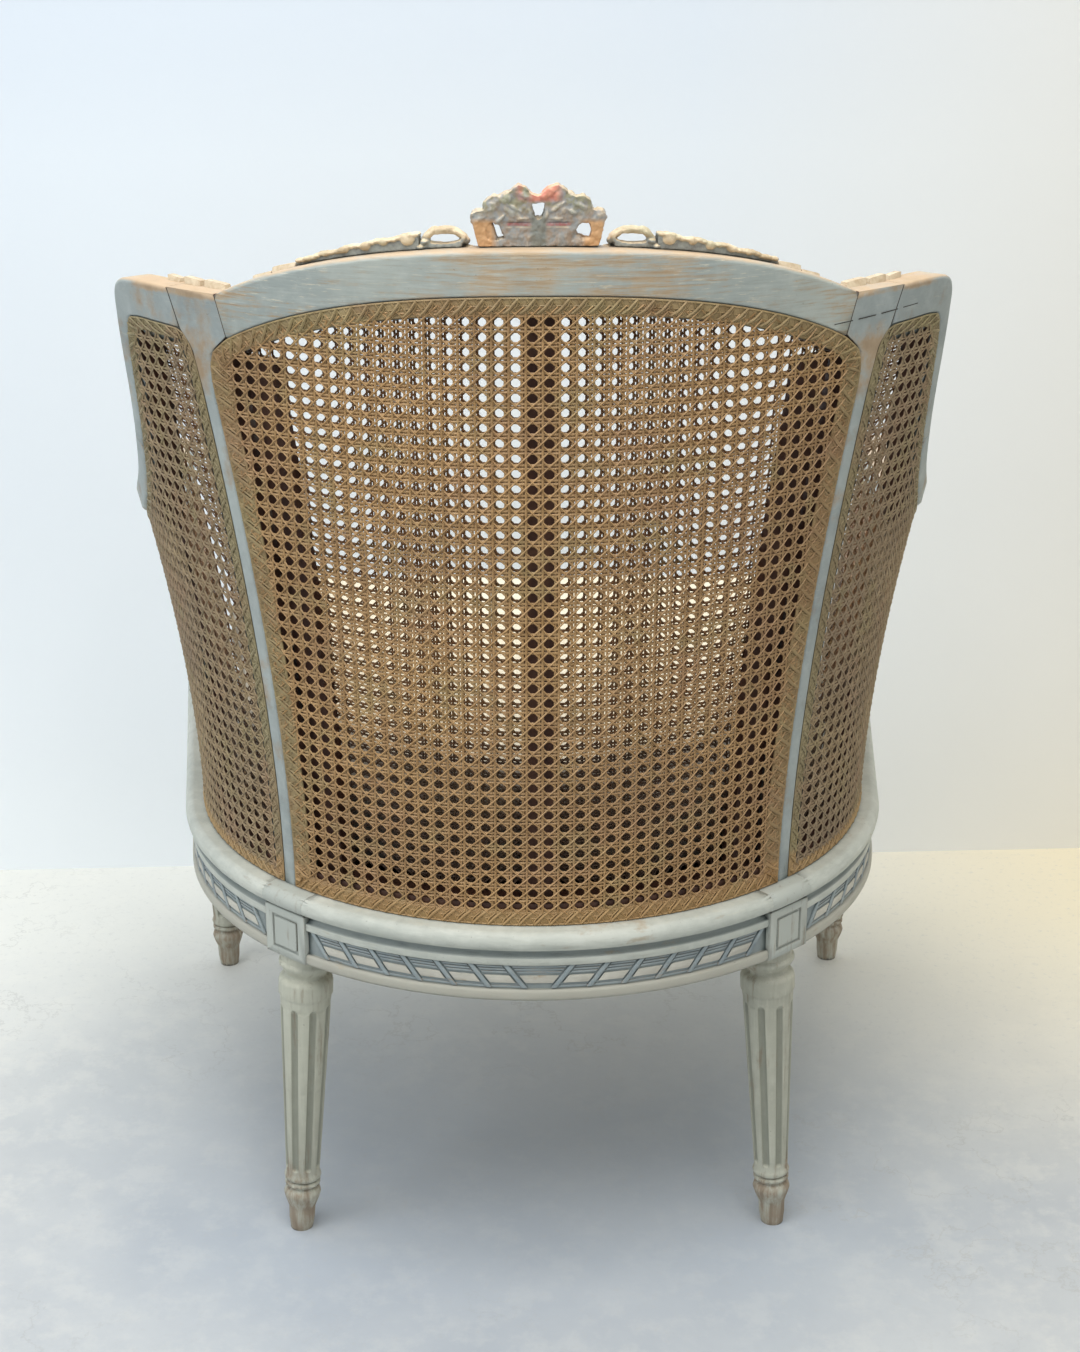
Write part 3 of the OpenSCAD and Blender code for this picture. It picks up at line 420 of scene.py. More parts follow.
class Wire:
    """An output socket that takes part in sums, each of which adds its Math node."""

    def __init__(self, finish, socket):
        self.finish, self.socket = finish, socket

    def sum(self, operation, *values, use_clamp=False):
        settings = {"operation": operation, "use_clamp": use_clamp}
        return self.finish.node("Math", settings, dict(enumerate(values)))

    def __add__(self, other):
        return self.sum("ADD", self, other)

    def __sub__(self, other):
        return self.sum("SUBTRACT", self, other)

    def __rsub__(self, other):
        return self.sum("SUBTRACT", other, self)

    def __mul__(self, other):
        return self.sum("MULTIPLY", self, other)

    __radd__, __rmul__ = __add__, __mul__

    def most(self, other):
        return self.sum("MAXIMUM", self, other)

    def size(self):
        return self.sum("ABSOLUTE", self)

    def over(self, low, high):
        """0 below low, 1 above high and even between them; the other way round if high is the lower."""
        return self.sum("MULTIPLY_ADD", self, 1 / (high - low), -low / (high - low), use_clamp=True)


class Finish:
    """One material, built from nodes round its Principled shader, and the colour of its coats so far."""

    def __init__(self, name):
        self.material = bpy.data.materials.new(name)
        self.material.use_nodes = True
        self.tree = self.material.node_tree
        self.shader = self.tree.nodes["Principled BSDF"]
        self.place = self.node("TexCoord", out="Object")
        self.colour = None

    def feed(self, socket, value):
        if isinstance(value, Wire):
            self.tree.links.new(value.socket, socket)
        else:
            socket.default_value = value

    def node(self, kind, settings=None, inputs=None, out=0):
        made = self.tree.nodes.new("ShaderNode" + kind)
        for key, value in (settings or {}).items():
            setattr(made, key, value)
        for key, value in (inputs or {}).items():
            self.feed(made.inputs[key], value)
        return Wire(self, made.outputs[out])

    def grain(self, scale, detail=3.0, rough=0.55, stretch=(1, 1, 1), shift=(0, 0, 0)):
        """Noise from 0 to 1 on the piece's own place, drawn out along an axis by stretch."""
        place = self.place
        if stretch != (1, 1, 1) or any(shift):
            place = self.node("Mapping", None, {"Vector": place, "Scale": stretch, "Location": shift})
        inputs = {"Vector": place, "Scale": scale, "Detail": detail, "Roughness": rough}
        return self.node("TexNoise", None, inputs)

    def axis(self, name):
        return self.node("SeparateXYZ", None, {0: self.place}, name)

    def upward(self):
        return self.node("SeparateXYZ", None, {0: self.node("NewGeometry", out="Normal")}, "Z")

    def noted(self, name):
        """A value written on the mesh when the piece was shaped."""
        return self.node("Attribute", {"attribute_name": name}, None, "Fac")

    def blend(self, mask, a, b):
        """Colour a where mask is 0 and b where it is 1; each is a link or three levels from 0 to 255."""
        a, b = (c if isinstance(c, Wire) else rgb(*c) for c in (a, b))
        return self.node("Mix", {"data_type": "RGBA"}, {0: mask, 6: a, 7: b}, 2)

    def coat(self, mask, tint):
        """Lays a colour over the colour so far, as far as mask says."""
        self.colour = self.blend(mask, self.colour, tint)

    def hollow(self, distance):
        """1 in hollows and corners and 0 on open faces."""
        return 1 - self.node("AmbientOcclusion", {"samples": 6}, {"Distance": distance}, "AO")

    def edge(self, radius):
        """1 on sharp edges and 0 on flat faces."""
        rounded = self.node("Bevel", {"samples": 4}, {"Radius": radius})
        plain = self.node("NewGeometry", out="Normal")
        likeness = self.node("VectorMath", {"operation": "DOT_PRODUCT"}, {0: rounded, 1: plain}, "Value")
        return likeness.over(0.995, 0.86)

    def done(self, roughness, height=None, depth=0.0002, strength=1.0, sheen=0.0):
        inputs = self.shader.inputs
        self.feed(inputs["Base Color"], self.colour)
        self.feed(inputs["Roughness"], roughness)
        self.feed(inputs["Sheen Weight"], sheen)
        if height is not None:
            self.feed(inputs["Normal"], self.node("Bump", None, {"Height": height, "Distance": depth,
                                                                 "Strength": strength}))
        return self.material


def lighter(tint, levels):
    return [c + levels for c in tint]


def worn_paint(name, pale, deep, wear, streak, wood=(196, 168, 134), glaze=(92, 104, 104),
               reach=0.007, region=None, edge_wear=0.7, glazed=(), top_wear=0.0, flecks=0.0, sunk=None,
               upper=None, lips=False):
    """Old grey-green paint over pale wood: brush streaks, rubbed patches and edges, and dark glaze in hollows.

    region masks where the paint is rubbed most and sunk the grooves that keep the glaze. glazed has bands of
    glaze: two heights in metres, a strength and a colour. top_wear is how far upper faces are rubbed to cream,
    flecks the strength of short cream strokes, and upper a height and the paint's colour above it. lips leaves
    the edges behind the cane bare and dark.
    """
    f = Finish(name)
    broad, fine, lines = f.grain(7, 4), f.grain(70, 5, 0.6), f.grain(1, 5, 0.65, streak)
    f.colour = f.blend(broad.over(0.35, 0.65), pale, deep)
    f.coat(fine.over(0.45, 0.75) * 0.35, lighter(pale, 20))
    f.coat(lines.over(0.52, 0.72) * 0.4, lighter(deep, -30))
    f.coat(lines.over(0.46, 0.30) * 0.3, lighter(pale, 26))
    high = f.axis("Z")
    if upper:
        f.coat(high.over(upper[0] - 0.002, upper[0] + 0.002), upper[1])
    if flecks:
        strokes = f.grain(1, 4, 0.7, (55, 55, 620), (0.2, 0.4, 0.1))
        f.coat(strokes.over(0.58, 0.66) * broad.over(0.36, 0.56) * flecks, (208, 202, 180))
    if sunk:
        f.coat(sunk(f) * (0.35 + 0.5 * fine), (116, 118, 104))
    for low, top, strength, tint in glazed:
        zone = high.over(low - 0.0008, low) * high.over(top + 0.0008, top)
        f.coat(zone * (strength * (0.7 + 0.6 * fine)), tint)
    bare = f.blend(lines.over(0.35, 0.65), wood, lighter(wood, -30))
    patches = f.grain(16, 9, 0.68, shift=(0.3, 0.1, 0))
    rubbed = (patches * 0.62 + lines * 0.38).over(0.60 - 0.09 * wear, 0.65 - 0.07 * wear)
    rubbed *= min(0.9, 0.4 + wear)
    if region:
        rubbed = rubbed.most((lines * 0.5 + patches * 0.5 + region(f) * 0.10).over(0.53, 0.66) * 0.85)
    ragged = f.edge(0.0012) * edge_wear * (0.35 + f.grain(90, 4))
    rubbed = rubbed.most(ragged.over(0.35, 0.62) * 0.9)
    f.coat(rubbed, bare)
    if top_wear:
        f.coat(f.upward().over(0.35, 0.8) * (0.4 + fine).over(0.5, 0.95) * top_wear, (192, 166, 134))
    if lips:
        f.coat(f.noted("lip"), (88, 58, 44))
    f.coat(f.hollow(reach).over(0.30, 0.80) * 0.85, glaze)
    f.coat(f.grain(420, 2).over(0.70, 0.78) * 0.5, (108, 100, 88))
    return f.done(0.52 + 0.2 * rubbed + 0.1 * fine, 0.5 * lines + 0.3 * fine - 0.9 * rubbed, 0.00025, 0.55)


def dark_wood(name):
    """Unpainted reddish-brown wood behind the cane."""
    f = Finish(name)
    lines = f.grain(1, 6, 0.6, (120, 120, 9))
    f.colour = f.blend(lines.over(0.3, 0.7), (96, 62, 44), (58, 34, 25))
    f.coat(f.grain(30, 4).over(0.5, 0.8) * 0.5, (128, 92, 68))
    return f.done(0.6, lines, 0.0003, 0.5)


def cane_finish(name, pale, deep, shade, low_tan=False, unlit=False):
    """Split cane: straw-coloured skin, darker with age in places.

    low_tan warms it along the panel's foot, and unlit paints shade on it behind the seat cushion.
    """
    f = Finish(name)
    skin, high = f.grain(95, 3, 0.6), f.axis("Z")
    f.colour = f.blend(skin.over(0.3, 0.7), pale, deep)
    f.coat(f.grain(6, 3, shift=(0.2, 0.5, 0.1)).over(0.42, 0.68) * 0.6, shade)
    f.coat(f.grain(24, 3, shift=(0.7, 0.2, 0)).over(0.55, 0.66) * 0.35, (160, 146, 100))
    f.coat(f.grain(19, 3, shift=(0.1, 0.6, 0)).over(0.55, 0.66) * 0.25, (170, 130, 100))
    if low_tan:
        f.coat(high.over(0.384, 0.376) * 0.55, (192, 150, 98))
    # painted shade: darker below the cushion's top, where the cushion keeps the light off
    if unlit:
        f.coat(high.over(0.53, 0.50) * 0.75, (66, 50, 40))
    f.coat(f.grain(800, 2).over(0.55, 0.75) * 0.35, lighter(deep, -45))
    f.coat(f.hollow(0.003).over(0.45, 0.95) * 0.6, (84, 58, 36))
    return f.done(0.42 + 0.25 * skin, f.grain(1500, 2), 0.00008, 0.4)


# ------------ the woodwork

LIP_OUT = -29.5, -1.5
OPENING_MIDDLES = (0, 640, -15), (62, 500, -15)


def dressed(node, material, degrees=38, lips=False):
    """A copy of a CAD node's mesh with its corners merged and its curves shaded smooth.

    lips notes the narrow faces that look into a caned opening.
    """
    made = cad_copy(node, node + "_finish")
    if lips:
        way = math.copysign(1, made.data.vertices[0].co.x)
        middles = [shell(way * angle, z, out) for angle, z, out in OPENING_MIDDLES]
        noted = made.data.attributes.new("lip", "FLOAT", "FACE")
        for i, face in enumerate(made.data.polygons):
            within = LIP_OUT[0] < shell_out(face.center / MM) < LIP_OUT[1]
            noted.data[i].value = within and any(face.normal.dot(m - face.center) > 0 for m in middles)
    modified(smooth(made, degrees), "WEIGHTED_NORMAL", keep_sharp=True)
    finished(made, material, node)


def crest_region(f):
    """The middle of the crest's back face, where most of the paint is rubbed off, and both its ends."""
    x = f.axis("X")
    middle = (x + 0.015).size().over(0.19, 0.04)
    ends = x.size().over(0.20, 0.26) * 0.6
    return middle.most(ends)


def neck_region(f):
    """The necks of the stiles where the cane begins, and a strip just under the stiles' and wings' top."""
    x, z = f.axis("X").size(), f.axis("Z")
    neck = (x - 0.272).size().over(0.03, 0.012) * z.over(0.79, 0.81) * z.over(0.865, 0.845)
    strip = z.over(0.8835, 0.8865) * x.over(0.345, 0.325)
    return neck.most(strip * 1.4)


def foot_region(f):
    """The feet, knocked and rubbed nearly bare."""
    return f.axis("Z").over(0.075, 0.045) * 1.3


SHAFT_TOP_R, SHAFT_FOOT_R, SHAFT_FOOT, SHAFT_TOP = 23.5, 15.8, 61.3, 244.1
FLUTE_FOOT, FLUTE_TOP = 0.066, 0.237


def flutes(x, y, side, back):
    """Mask of the hollows of one leg's flutes: how far a place lies inside the shaft's tapered surface."""
    def mask(f):
        z = f.axis("Z")
        drop = z.over((RAIL_TOP - RAIL_H) * MM, 0)
        dx = f.axis("X").size() - (drop * side * MM + x * MM)
        dy = f.axis("Y") - (drop * back * MM + y * MM)
        square = dx * dx + dy * dy
        taper = (SHAFT_TOP_R - SHAFT_FOOT_R) / (SHAFT_TOP - SHAFT_FOOT)
        surface = z * taper + (SHAFT_FOOT_R - SHAFT_FOOT * taper) * MM
        shaft = z.over(FLUTE_FOOT, FLUTE_FOOT + 0.003) * z.over(FLUTE_TOP, FLUTE_TOP - 0.003)
        return (surface - square.sum("SQRT", square)).over(0.0002, 0.0012) * shaft
    return mask


def woodwork():
    rail = worn_paint("rail_paint", (203, 204, 192), (186, 189, 178), 0.14, (30, 30, 200),
                      wood=(206, 186, 156), edge_wear=0.5, flecks=0.25,
                      glazed=((0.3030, 0.3255, 0.75, (120, 131, 134)), (0.3332, 0.3392, 0.55, (122, 132, 134)),
                              (0.2900, 0.3020, 0.75, (174, 168, 152))))
    crest = worn_paint("crest_paint", (180, 184, 174), (158, 165, 160), 0.66, (26, 26, 420),
                       wood=(206, 178, 142), region=crest_region, top_wear=0.9, flecks=0.9, lips=True)
    stile = worn_paint("stile_paint", (170, 176, 171), (148, 155, 153), 0.04, (30, 30, 24),
                       region=neck_region, top_wear=0.9, flecks=0.2, lips=True)
    leg_r = SEAT_RADIUS - DIE_W / 2 + 2
    rear = flutes(leg_r * sin(LEG_ANGLE), CENTRE_Y + leg_r * cos(LEG_ANGLE), 14.5, 7.5)
    front = flutes(X_FRONT_LEG, Y_REAR - V_FRONT_LEG, 0, 0)
    legs = [worn_paint(name, (187, 186, 168), (167, 165, 149), 0.3, (160, 160, 12), wood=(168, 148, 126),
                       glaze=(92, 92, 82), region=foot_region, sunk=mask, upper=(0.291, (184, 187, 177)))
            for name, mask in (("rear_leg_paint", rear), ("front_leg_paint", front))]
    for side in ("back", "left", "right", "front"):
        dressed("seat_rail_" + side, rail)
    dressed("crest_rail", crest, lips=True)
    for side in ("left", "right"):
        for node in ("rear_stile_", "wing_", "arm_", "arm_support_"):
            dressed(node + side, stile, lips=True)
        for node, paint in zip(("leg_rear_", "leg_front_"), legs):
            dressed(node + side, paint, 28)
    inner = dark_wood("inner_wood")
    for node in ("upright_centre", "upright_left", "upright_right", "lower_rail_back", "lower_rail_left",
                 "lower_rail_right", "joint_pegs"):
        coloured(NODES[node], inner)
    coloured(NODES["seat_cane"], woven_seat("seat_cane_weave"))


def woven_seat(name):
    """The caned seat under the cushion: straw strands both ways, with painted shade for the opening in each step.
    """
    f = Finish(name)
    across, along = (f.node("TexWave", {"bands_direction": way}, {"Vector": f.place, "Scale": scale}, 1)
                     for way, scale in (("X", 23.4), ("Y", 24.8)))
    opening = across.over(0.45, 0.6) * along.over(0.45, 0.6)
    f.colour = f.blend(f.grain(95, 3).over(0.3, 0.7), (192, 160, 116), (158, 124, 84))
    # painted shade in the openings, where the shaded underside of the cushion would show
    f.coat(opening * 0.9, (60, 44, 32))
    return f.done(0.55, 1 - opening, 0.0008, 0.6)


# ------------ ribbon frieze of the seat rail

FRIEZE_PITCH, FRIEZE_MID, FRIEZE_BACK, SLANT, FIRST_RIBBON = 31.0, 314.0, -2.4, 0.75, 20.5
RIBBON_START, RIBBON_END, TILE_END = 14, 9, 4


def tile_and_reeds(half):
    """A tile of the frieze laid flat (s along, height, distance out) and the three reeds above it."""
    tile = bar((-half, 308.2, FRIEZE_BACK), (half, 315.4, -0.3), 0.6)
    return [tile] + [bar((-half - 0.2, z, FRIEZE_BACK), (half + 0.2, z + 2.0, -1.0), 0.6)
                     for z in (317.2, 319.9, 322.6)]


def slanted(source, at, way):
    """A copy moved along to at and slanted: way 1 or -1, or 0 for a bar that widens upwards."""
    made = copy_of(source, "frieze_piece")
    if way < 0:
        flipped(made)
    for v in made.data.vertices:
        lean = way or math.copysign(1, v.co.x)
        v.co.x += at * MM + lean * SLANT * (v.co.y - FRIEZE_MID * MM)
    return made


def frieze(rail, place, first, last, central):
    """Tiles between slanting ribbons over one rail, from first to last millimetres along its carved face."""
    tile, *reeds = tile_and_reeds(11.2)
    ribbon = bar((-2.5, 303.2, FRIEZE_BACK), (2.5, 325.7, 0.0), 0.9)
    foot = bar((-15.5, 303.0, FRIEZE_BACK), (15.5, 305.6, -1.1), 0.6)
    patterns = [tile, *reeds, ribbon, foot]
    tiles, bars = [], []
    for way in (1, -1) if central else (1,):
        at = FIRST_RIBBON if central else first + RIBBON_START
        while at < last - RIBBON_END:
            bars.append(slanted(ribbon, way * at, way))
            if at + FRIEZE_PITCH < last - TILE_END:
                middle = way * (at + FRIEZE_PITCH / 2)
                tiles.append(slanted(tile, middle, way))
                bars += [slanted(bar, middle, way) for bar in (*reeds, foot)]
            at += FRIEZE_PITCH
    if central:
        wide, *wide_reeds = tile_and_reeds(16.2)
        patterns += [wide, *wide_reeds]
        tiles.append(slanted(wide, 0, 0))
        bars += [slanted(reed, 0, 0) for reed in wide_reeds]
    for pattern in patterns:
        bpy.data.objects.remove(pattern)
    made = []
    for name, parts in (("frieze_tiles_", tiles), ("frieze_ribbons_", bars)):
        piece = bent(joined(name + rail, parts), lambda c: place(*c))
        made.append(smooth(merged(piece, outward=True), 35))
    return made


def friezes():
    pale = worn_paint("frieze_tile_paint", (204, 199, 184), (186, 181, 168), 0.2, (40, 40, 200), edge_wear=0.3)
    glaze = worn_paint("frieze_ribbon_paint", (160, 169, 168), (136, 147, 150), 0.2, (40, 40, 200),
                       glaze=(78, 88, 92), reach=0.004, edge_wear=0.6)
    die = LEG_ANGLE * math.pi / 180 * SEAT_RADIUS
    half_die = DIE_W / 2 + 2
    side_end = SEAT_RADIUS * BEND + SIDE_LEN - half_die
    for rail, place, first, last, central in (("back", rail_face, 0, die - half_die, True),
                                              ("left", rail_face, die + half_die, side_end, False),
                                              ("front", front_face, 0, X_FRONT_LEG - half_die, True)):
        for piece, finish in zip(frieze(rail, place, first, last, central), (pale, glaze)):
            if rail == "left":
                finished(mirrored(piece, piece.name.replace("left", "right")), finish)
            finished(piece, finish)


# ------------ carving on the crest

def lump(place, size, turn=0.0):
    """One carved swelling: a ball drawn out to size and turned in the plane of the carving."""
    deselect()
    bpy.ops.mesh.primitive_uv_sphere_add(segments=20, ring_count=12, radius=0.5)
    made = bpy.context.object
    stretch = Matrix.Diagonal(Vector(size) * MM).to_4x4()
    turned = Matrix.Rotation(math.radians(turn), 4, "Y")
    made.data.transform(Matrix.Translation(Vector(place) * MM) @ turned @ stretch)
    return made


def proud(obj, depth):
    """Notes on each vertex how far the carving stands out: depth gives 0 for its ground and 1 for its top."""
    noted = obj.data.attributes.new("relief", "FLOAT", "POINT")
    for i, v in enumerate(obj.data.vertices):
        noted.data[i].value = clamp(depth(v.co / MM))


def carved(name, parts, voxel, rough=0.35, passes=4):
    """Joins overlapping parts into one closed skin, softens it and gives it the unevenness of the gouge."""
    whole = joined(name, parts)
    modified(whole, "REMESH", mode="VOXEL", voxel_size=voxel * MM)
    modified(whole, "SMOOTH", factor=0.5, iterations=passes)
    outward = [v.normal.copy() for v in whole.data.vertices]
    for v, way in zip(whole.data.vertices, outward):
        broad, fine = noise.noise(v.co / MM * 0.22), noise.noise(v.co / MM * 0.55)
        v.co += way * (broad * rough + fine * rough * 0.5) * MM
    return smooth(whole, 60)


BOW_LUMPS = (
    # place right of the middle seen from behind, height, depth towards the back; width, depth, height; turn
    (-20, 26, 3, 28, 10, 13, 24), (17, 26, 3, 26, 10, 12, -28), (0, 11, 2.6, 12, 9, 24, 0),
    (-36, 31, 3, 15, 11, 13, -35), (-25, 36.5, 4, 14, 10, 10, -30), (-9, 38.5, 4.5, 16, 8, 7, 18),
    (8, 40.5, 4.5, 15, 9, 8, -35), (14.5, 38, 3.5, 9, 10, 13, 10), (24, 37, 2.5, 10, 9, 9, 0),
    (33, 31, 4, 20, 9, 6, 24), (47, 24.5, 3, 11, 10, 9, 20), (-47, 20.5, 3, 11, 10, 7, -25),
    (-40, 24, 3, 20, 9, 6, -34), (-16, 9, 3.5, 26, 8, 9, 6), (17, 9, 3.5, 26, 8, 9, -6),
    (-37, 10, 2.6, 8, 9, 26, -16), (31, 21.5, 3, 18, 9, 6, -8), (-6, 25, 3.6, 5, 9, 22, -14),
    (6, 25, 3.6, 5, 9, 22, 14), (-27, 3, 3, 12, 9, 7, 10), (30, 4.5, 3, 11, 9, 8, 0),
    (38, 3.5, 3, 10, 9, 7, 8), (-29, 22, 5, 14, 8, 4, -40), (26, 27, 5, 12, 8, 4, 30),
    (-19, 30, 5, 20, 8, 4, 30), (15, 31, 5, 18, 8, 4, -34), (-13, 21.5, 4.5, 16, 8, 3.6, 0),
    (14, 21.5, 4.5, 16, 8, 3.6, 0), (-23, 3.5, 3.5, 18, 8, 5, -8), (22, 3.5, 3.5, 18, 8, 5, 8))
BOW_GROUND, BOW_RELIEF = 6.6, 2.6


def bow(finish):
    """The pierced ribbon bow in the middle of the crest."""
    low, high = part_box("cresting_bow")
    base = Vector(((low.x + high.x) / 2, (low.y + high.y) / 2, low.z)) / MM
    parts = [cad_copy("cresting_bow", "bow_body")]
    for x, z, out, *size, turn in BOW_LUMPS:
        parts += [lump((base.x - x, base.y + face * out, base.z + z), size, -turn) for face in (1, -1)]
    made = carved("bow_carving", parts, voxel=0.7, rough=0.9, passes=2)
    grounded(made, low.z)
    proud(made, lambda c: (abs(c.y - base.y) - BOW_GROUND) / BOW_RELIEF)
    finished(made, finish, "cresting_bow")


LOOP_LUMPS = (
    # place outwards of the loop's middle, height over it, width, height, turn
    (-11, 4.5, 12, 6, -35), (0, 7.2, 20, 5, 4), (11, 4.5, 14, 6, 40), (-16, -1, 9, 6, -20), (15, -2, 9, 5, 15),
    (19, -6.5, 8, 4.5, 0), (-19.5, -7, 9, 4, 0))
LOOP_D, LEAF_START, LEAF_END, LEAF_HEIGHT, LEAF_BEADS = 13, 11.9, 24.6, 12.5, 24
BEAD_OUT, LOBE_OUT, LEAF_GROUND, LEAF_RELIEF = -18.5, -16.2, -15.2, 0.9
LEAF_LOBES = (
    # share of the leaf's length, drop below its top edge, width: the drooping lobes, the outermost first
    (0.05, 8.0, 13), (0.25, 4.5, 8), (0.40, 5.5, 10), (0.58, 4.0, 12), (0.74, 3.0, 9), (0.90, 2.6, 12))


def leaf_place(way, t, lift, out):
    """Place at a share of the leaf's length, lift over its top edge, in millimetres."""
    angle = way * mix(LEAF_START, LEAF_END, t)
    return shell(angle, crest_z(angle) + LEAF_HEIGHT * mix(1, 0.3, t ** 0.8) + lift, out) / MM


def loop(side, way, carving):
    """The small pierced loop beside the bow."""
    node = "cresting_loop_" + side
    low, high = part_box(node)
    middle = (low + high) / 2 / MM
    parts = [cad_copy(node, "loop")]
    for dx, dz, w, h, turn in LOOP_LUMPS:
        parts.append(lump((middle.x + way * dx, middle.y, middle.z + dz), (w, LOOP_D, h), way * turn))
    made = carved("loop_carving_" + side, parts, voxel=0.8, rough=0.4)
    proud(made, lambda c: (c.z - middle.z + 1) / 4)
    finished(made, carving, node)


def leaf(side, way, carving):
    """The leaf border that falls away from the loop along the crest."""
    node = "cresting_leaf_" + side
    parts = [cad_copy(node, "leaf")]
    for k in range(LEAF_BEADS):
        t = k / (LEAF_BEADS - 1)
        parts.append(lump(leaf_place(way, t, 0.7 * sin(t * 1500) - 0.6, BEAD_OUT), (9, 11, 3.8), way * 8))
    for t, drop, width in LEAF_LOBES:
        parts.append(lump(leaf_place(way, t, 0.8 - drop / 2, LOBE_OUT), (width, 7, drop + 1.6), way * 10))
    made = carved("leaf_carving_" + side, parts, voxel=0.7, passes=3)
    grounded(made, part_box(node)[0].z - 0.0005)
    proud(made, lambda c: (shell_out(c) - LEAF_GROUND) / LEAF_RELIEF)
    finished(made, carving, node)


BLOCK_OUT, BLOCK_LIFT = -27, 0.8
RIBBON_BLOCKS = (
    # angle, half length in degrees, height over the rail, depth of the block
    (26.9, 1.5, 3.6, 9), (30.0, 1.3, 2.4, 8), (37.0, 1.5, 5.0, 9), (40.4, 1.25, 5.2, 9), (43.6, 1.0, 4.4, 8))


def rail_top_z(angle):
    return crest_z(angle) if angle < CREST_END else WING_TOP


def ribbon_blocks(side, way, finish):
    """Short carved blocks of a twisted ribbon along the front edge of the crest and the wing."""
    parts = []
    for angle, half, height, depth in RIBBON_BLOCKS:
        made = bar((-half, -0.5, 0), (half, height, depth), 0.4, 1)
        for v in made.data.vertices:
            c = v.co / MM
            a = angle + c.x
            lift = c.x / half * BLOCK_LIFT if c.y > 0 else 0
            v.co = shell(a, rail_top_z(a) + c.y + lift, BLOCK_OUT + c.z * (1 - 0.25 * (c.y > 1)))
        if way < 0:
            made.data.transform(Matrix.Diagonal((-1, 1, 1, 1)))
        parts.append(made)
    piece = merged(joined("ribbon_blocks_" + side, parts), outward=True)
    return finished(smooth(piece, 35), finish)


LINE_IN, LINE_OUT = -0.2, 0.12


def joint_line(name, run, finish, width=0.55):
    """A dark line in the paint over a joint, through (angle, height) places: a flat bar, a hair proud."""
    verts, faces = [], []
    for i, (a, z) in enumerate(run):
        before, after = run[max(i - 1, 0)], run[min(i + 1, len(run) - 1)]
        flat = Vector(((after[0] - before[0]) * degree_mm(a, z), after[1] - before[1])).normalized()
        side = Vector((-flat.y, flat.x)) * width / 2
        for way, out in ((-1, LINE_IN), (-1, LINE_OUT), (1, LINE_OUT), (1, LINE_IN)):
            verts.append(shell(a + way * side.x / degree_mm(a, z), z + way * side.y, out))
    n = len(run)
    for i in range(n - 1):
        faces += [(i * 4 + k, i * 4 + (k + 1) % 4, i * 4 + 4 + (k + 1) % 4, i * 4 + 4 + k) for k in range(4)]
    faces += [(0, 3, 2, 1), tuple(n * 4 - 4 + k for k in range(4))]
    return finished(merged(flat_object(name, verts, faces), 0.000001, outward=True), finish)


def line_finish(name):
    f = Finish(name)
    f.colour = f.blend(f.grain(300, 3).over(0.35, 0.7), (48, 44, 40), (84, 78, 68))
    return f.done(0.8)


def bow_paint(f, broad, fine, upward):
    """The bow's colours over its carving: rubbed cream, tan feet, red petals and bands, a grey stem, and upper
    faces lighter, partly rubbed and partly a painted highlight.
    """
    x, z, relief = f.axis("X").size(), f.axis("Z"), f.noted("relief")
    top = f.blend(broad.over(0.42, 0.56), (210, 194, 170), (180, 176, 164))
    deep = f.blend(fine.over(0.4, 0.6), (156, 156, 152), (166, 148, 130))
    f.colour = f.blend(relief.over(0.3, 0.75), deep, top)
    feet = (x - 0.043).size().over(0.011, 0.006) * z.over(0.961, 0.957)
    f.coat(feet * (0.75 + 0.3 * broad), (214, 164, 112))
    leafy = (fine * 0.5 + broad * 0.5).over(0.49, 0.55) * z.over(0.961, 0.972)
    f.coat(leafy * 0.6, (146, 148, 112))
    petals = (x + 0.007 * fine).over(0.0225, 0.0165) * z.over(0.9722, 0.9746)
    f.coat(petals * broad.over(0.62, 0.44) * 0.7, (226, 122, 92))
    stem = x.over(0.0075, 0.0045) * z.over(0.968, 0.962)
    f.coat(stem * (0.5 + 0.5 * fine), (128, 132, 122))
    reach, broken = (x - 0.0155).size().over(0.0105, 0.0070), fine.over(0.3, 0.6)
    f.coat((z - 0.9560).size().over(0.0014, 0.0008) * reach * broken * 0.8, (176, 84, 88))
    f.coat((z - 0.9576).size().over(0.0007, 0.0003) * reach * 0.7, (84, 52, 50))
    f.coat((z - 0.9538).size().over(0.0008, 0.0003) * reach * broken, (214, 196, 170))
    # upper faces lighter cream: partly rubbed paint, partly a painted highlight from the light above
    f.coat(upward.over(0.45, 0.95) * 0.55, (226, 200, 160))


def carving_finish(name, polychrome=False):
    """Cream and tan rubbed carving over a blue-grey ground, which also gives painted shade to low faces that
    don't turn upwards; on the bow with traces of red and green.
    """
    f = Finish(name)
    broad, fine, upward = f.grain(60, 4), f.grain(190, 5, 0.6), f.upward()
    if polychrome:
        bow_paint(f, broad, fine, upward)
    else:
        f.colour = f.blend(broad.over(0.40, 0.60), (228, 208, 174), (186, 164, 130))
        f.coat(f.grain(35, 3, shift=(0.1, 0.3, 0.2)).over(0.52, 0.62) * 0.6, (178, 172, 140))
        ground = f.blend(fine.over(0.4, 0.6), (156, 163, 158), (130, 138, 139))
        # partly the real blue-grey ground of the recesses and partly painted shade, since only low faces that
        # don't turn upwards get it
        f.coat(f.noted("relief").over(0.75, 0.2) * upward.over(0.6, 0.25) * 0.9, ground)
    f.coat(fine.over(0.56, 0.74) * 0.4, (120, 100, 76))
    f.coat(f.hollow(0.005).over(0.32, 0.85) * 0.75, (86, 84, 78))
    return f.done(0.62, fine + 0.5 * broad, 0.0005, 0.7)


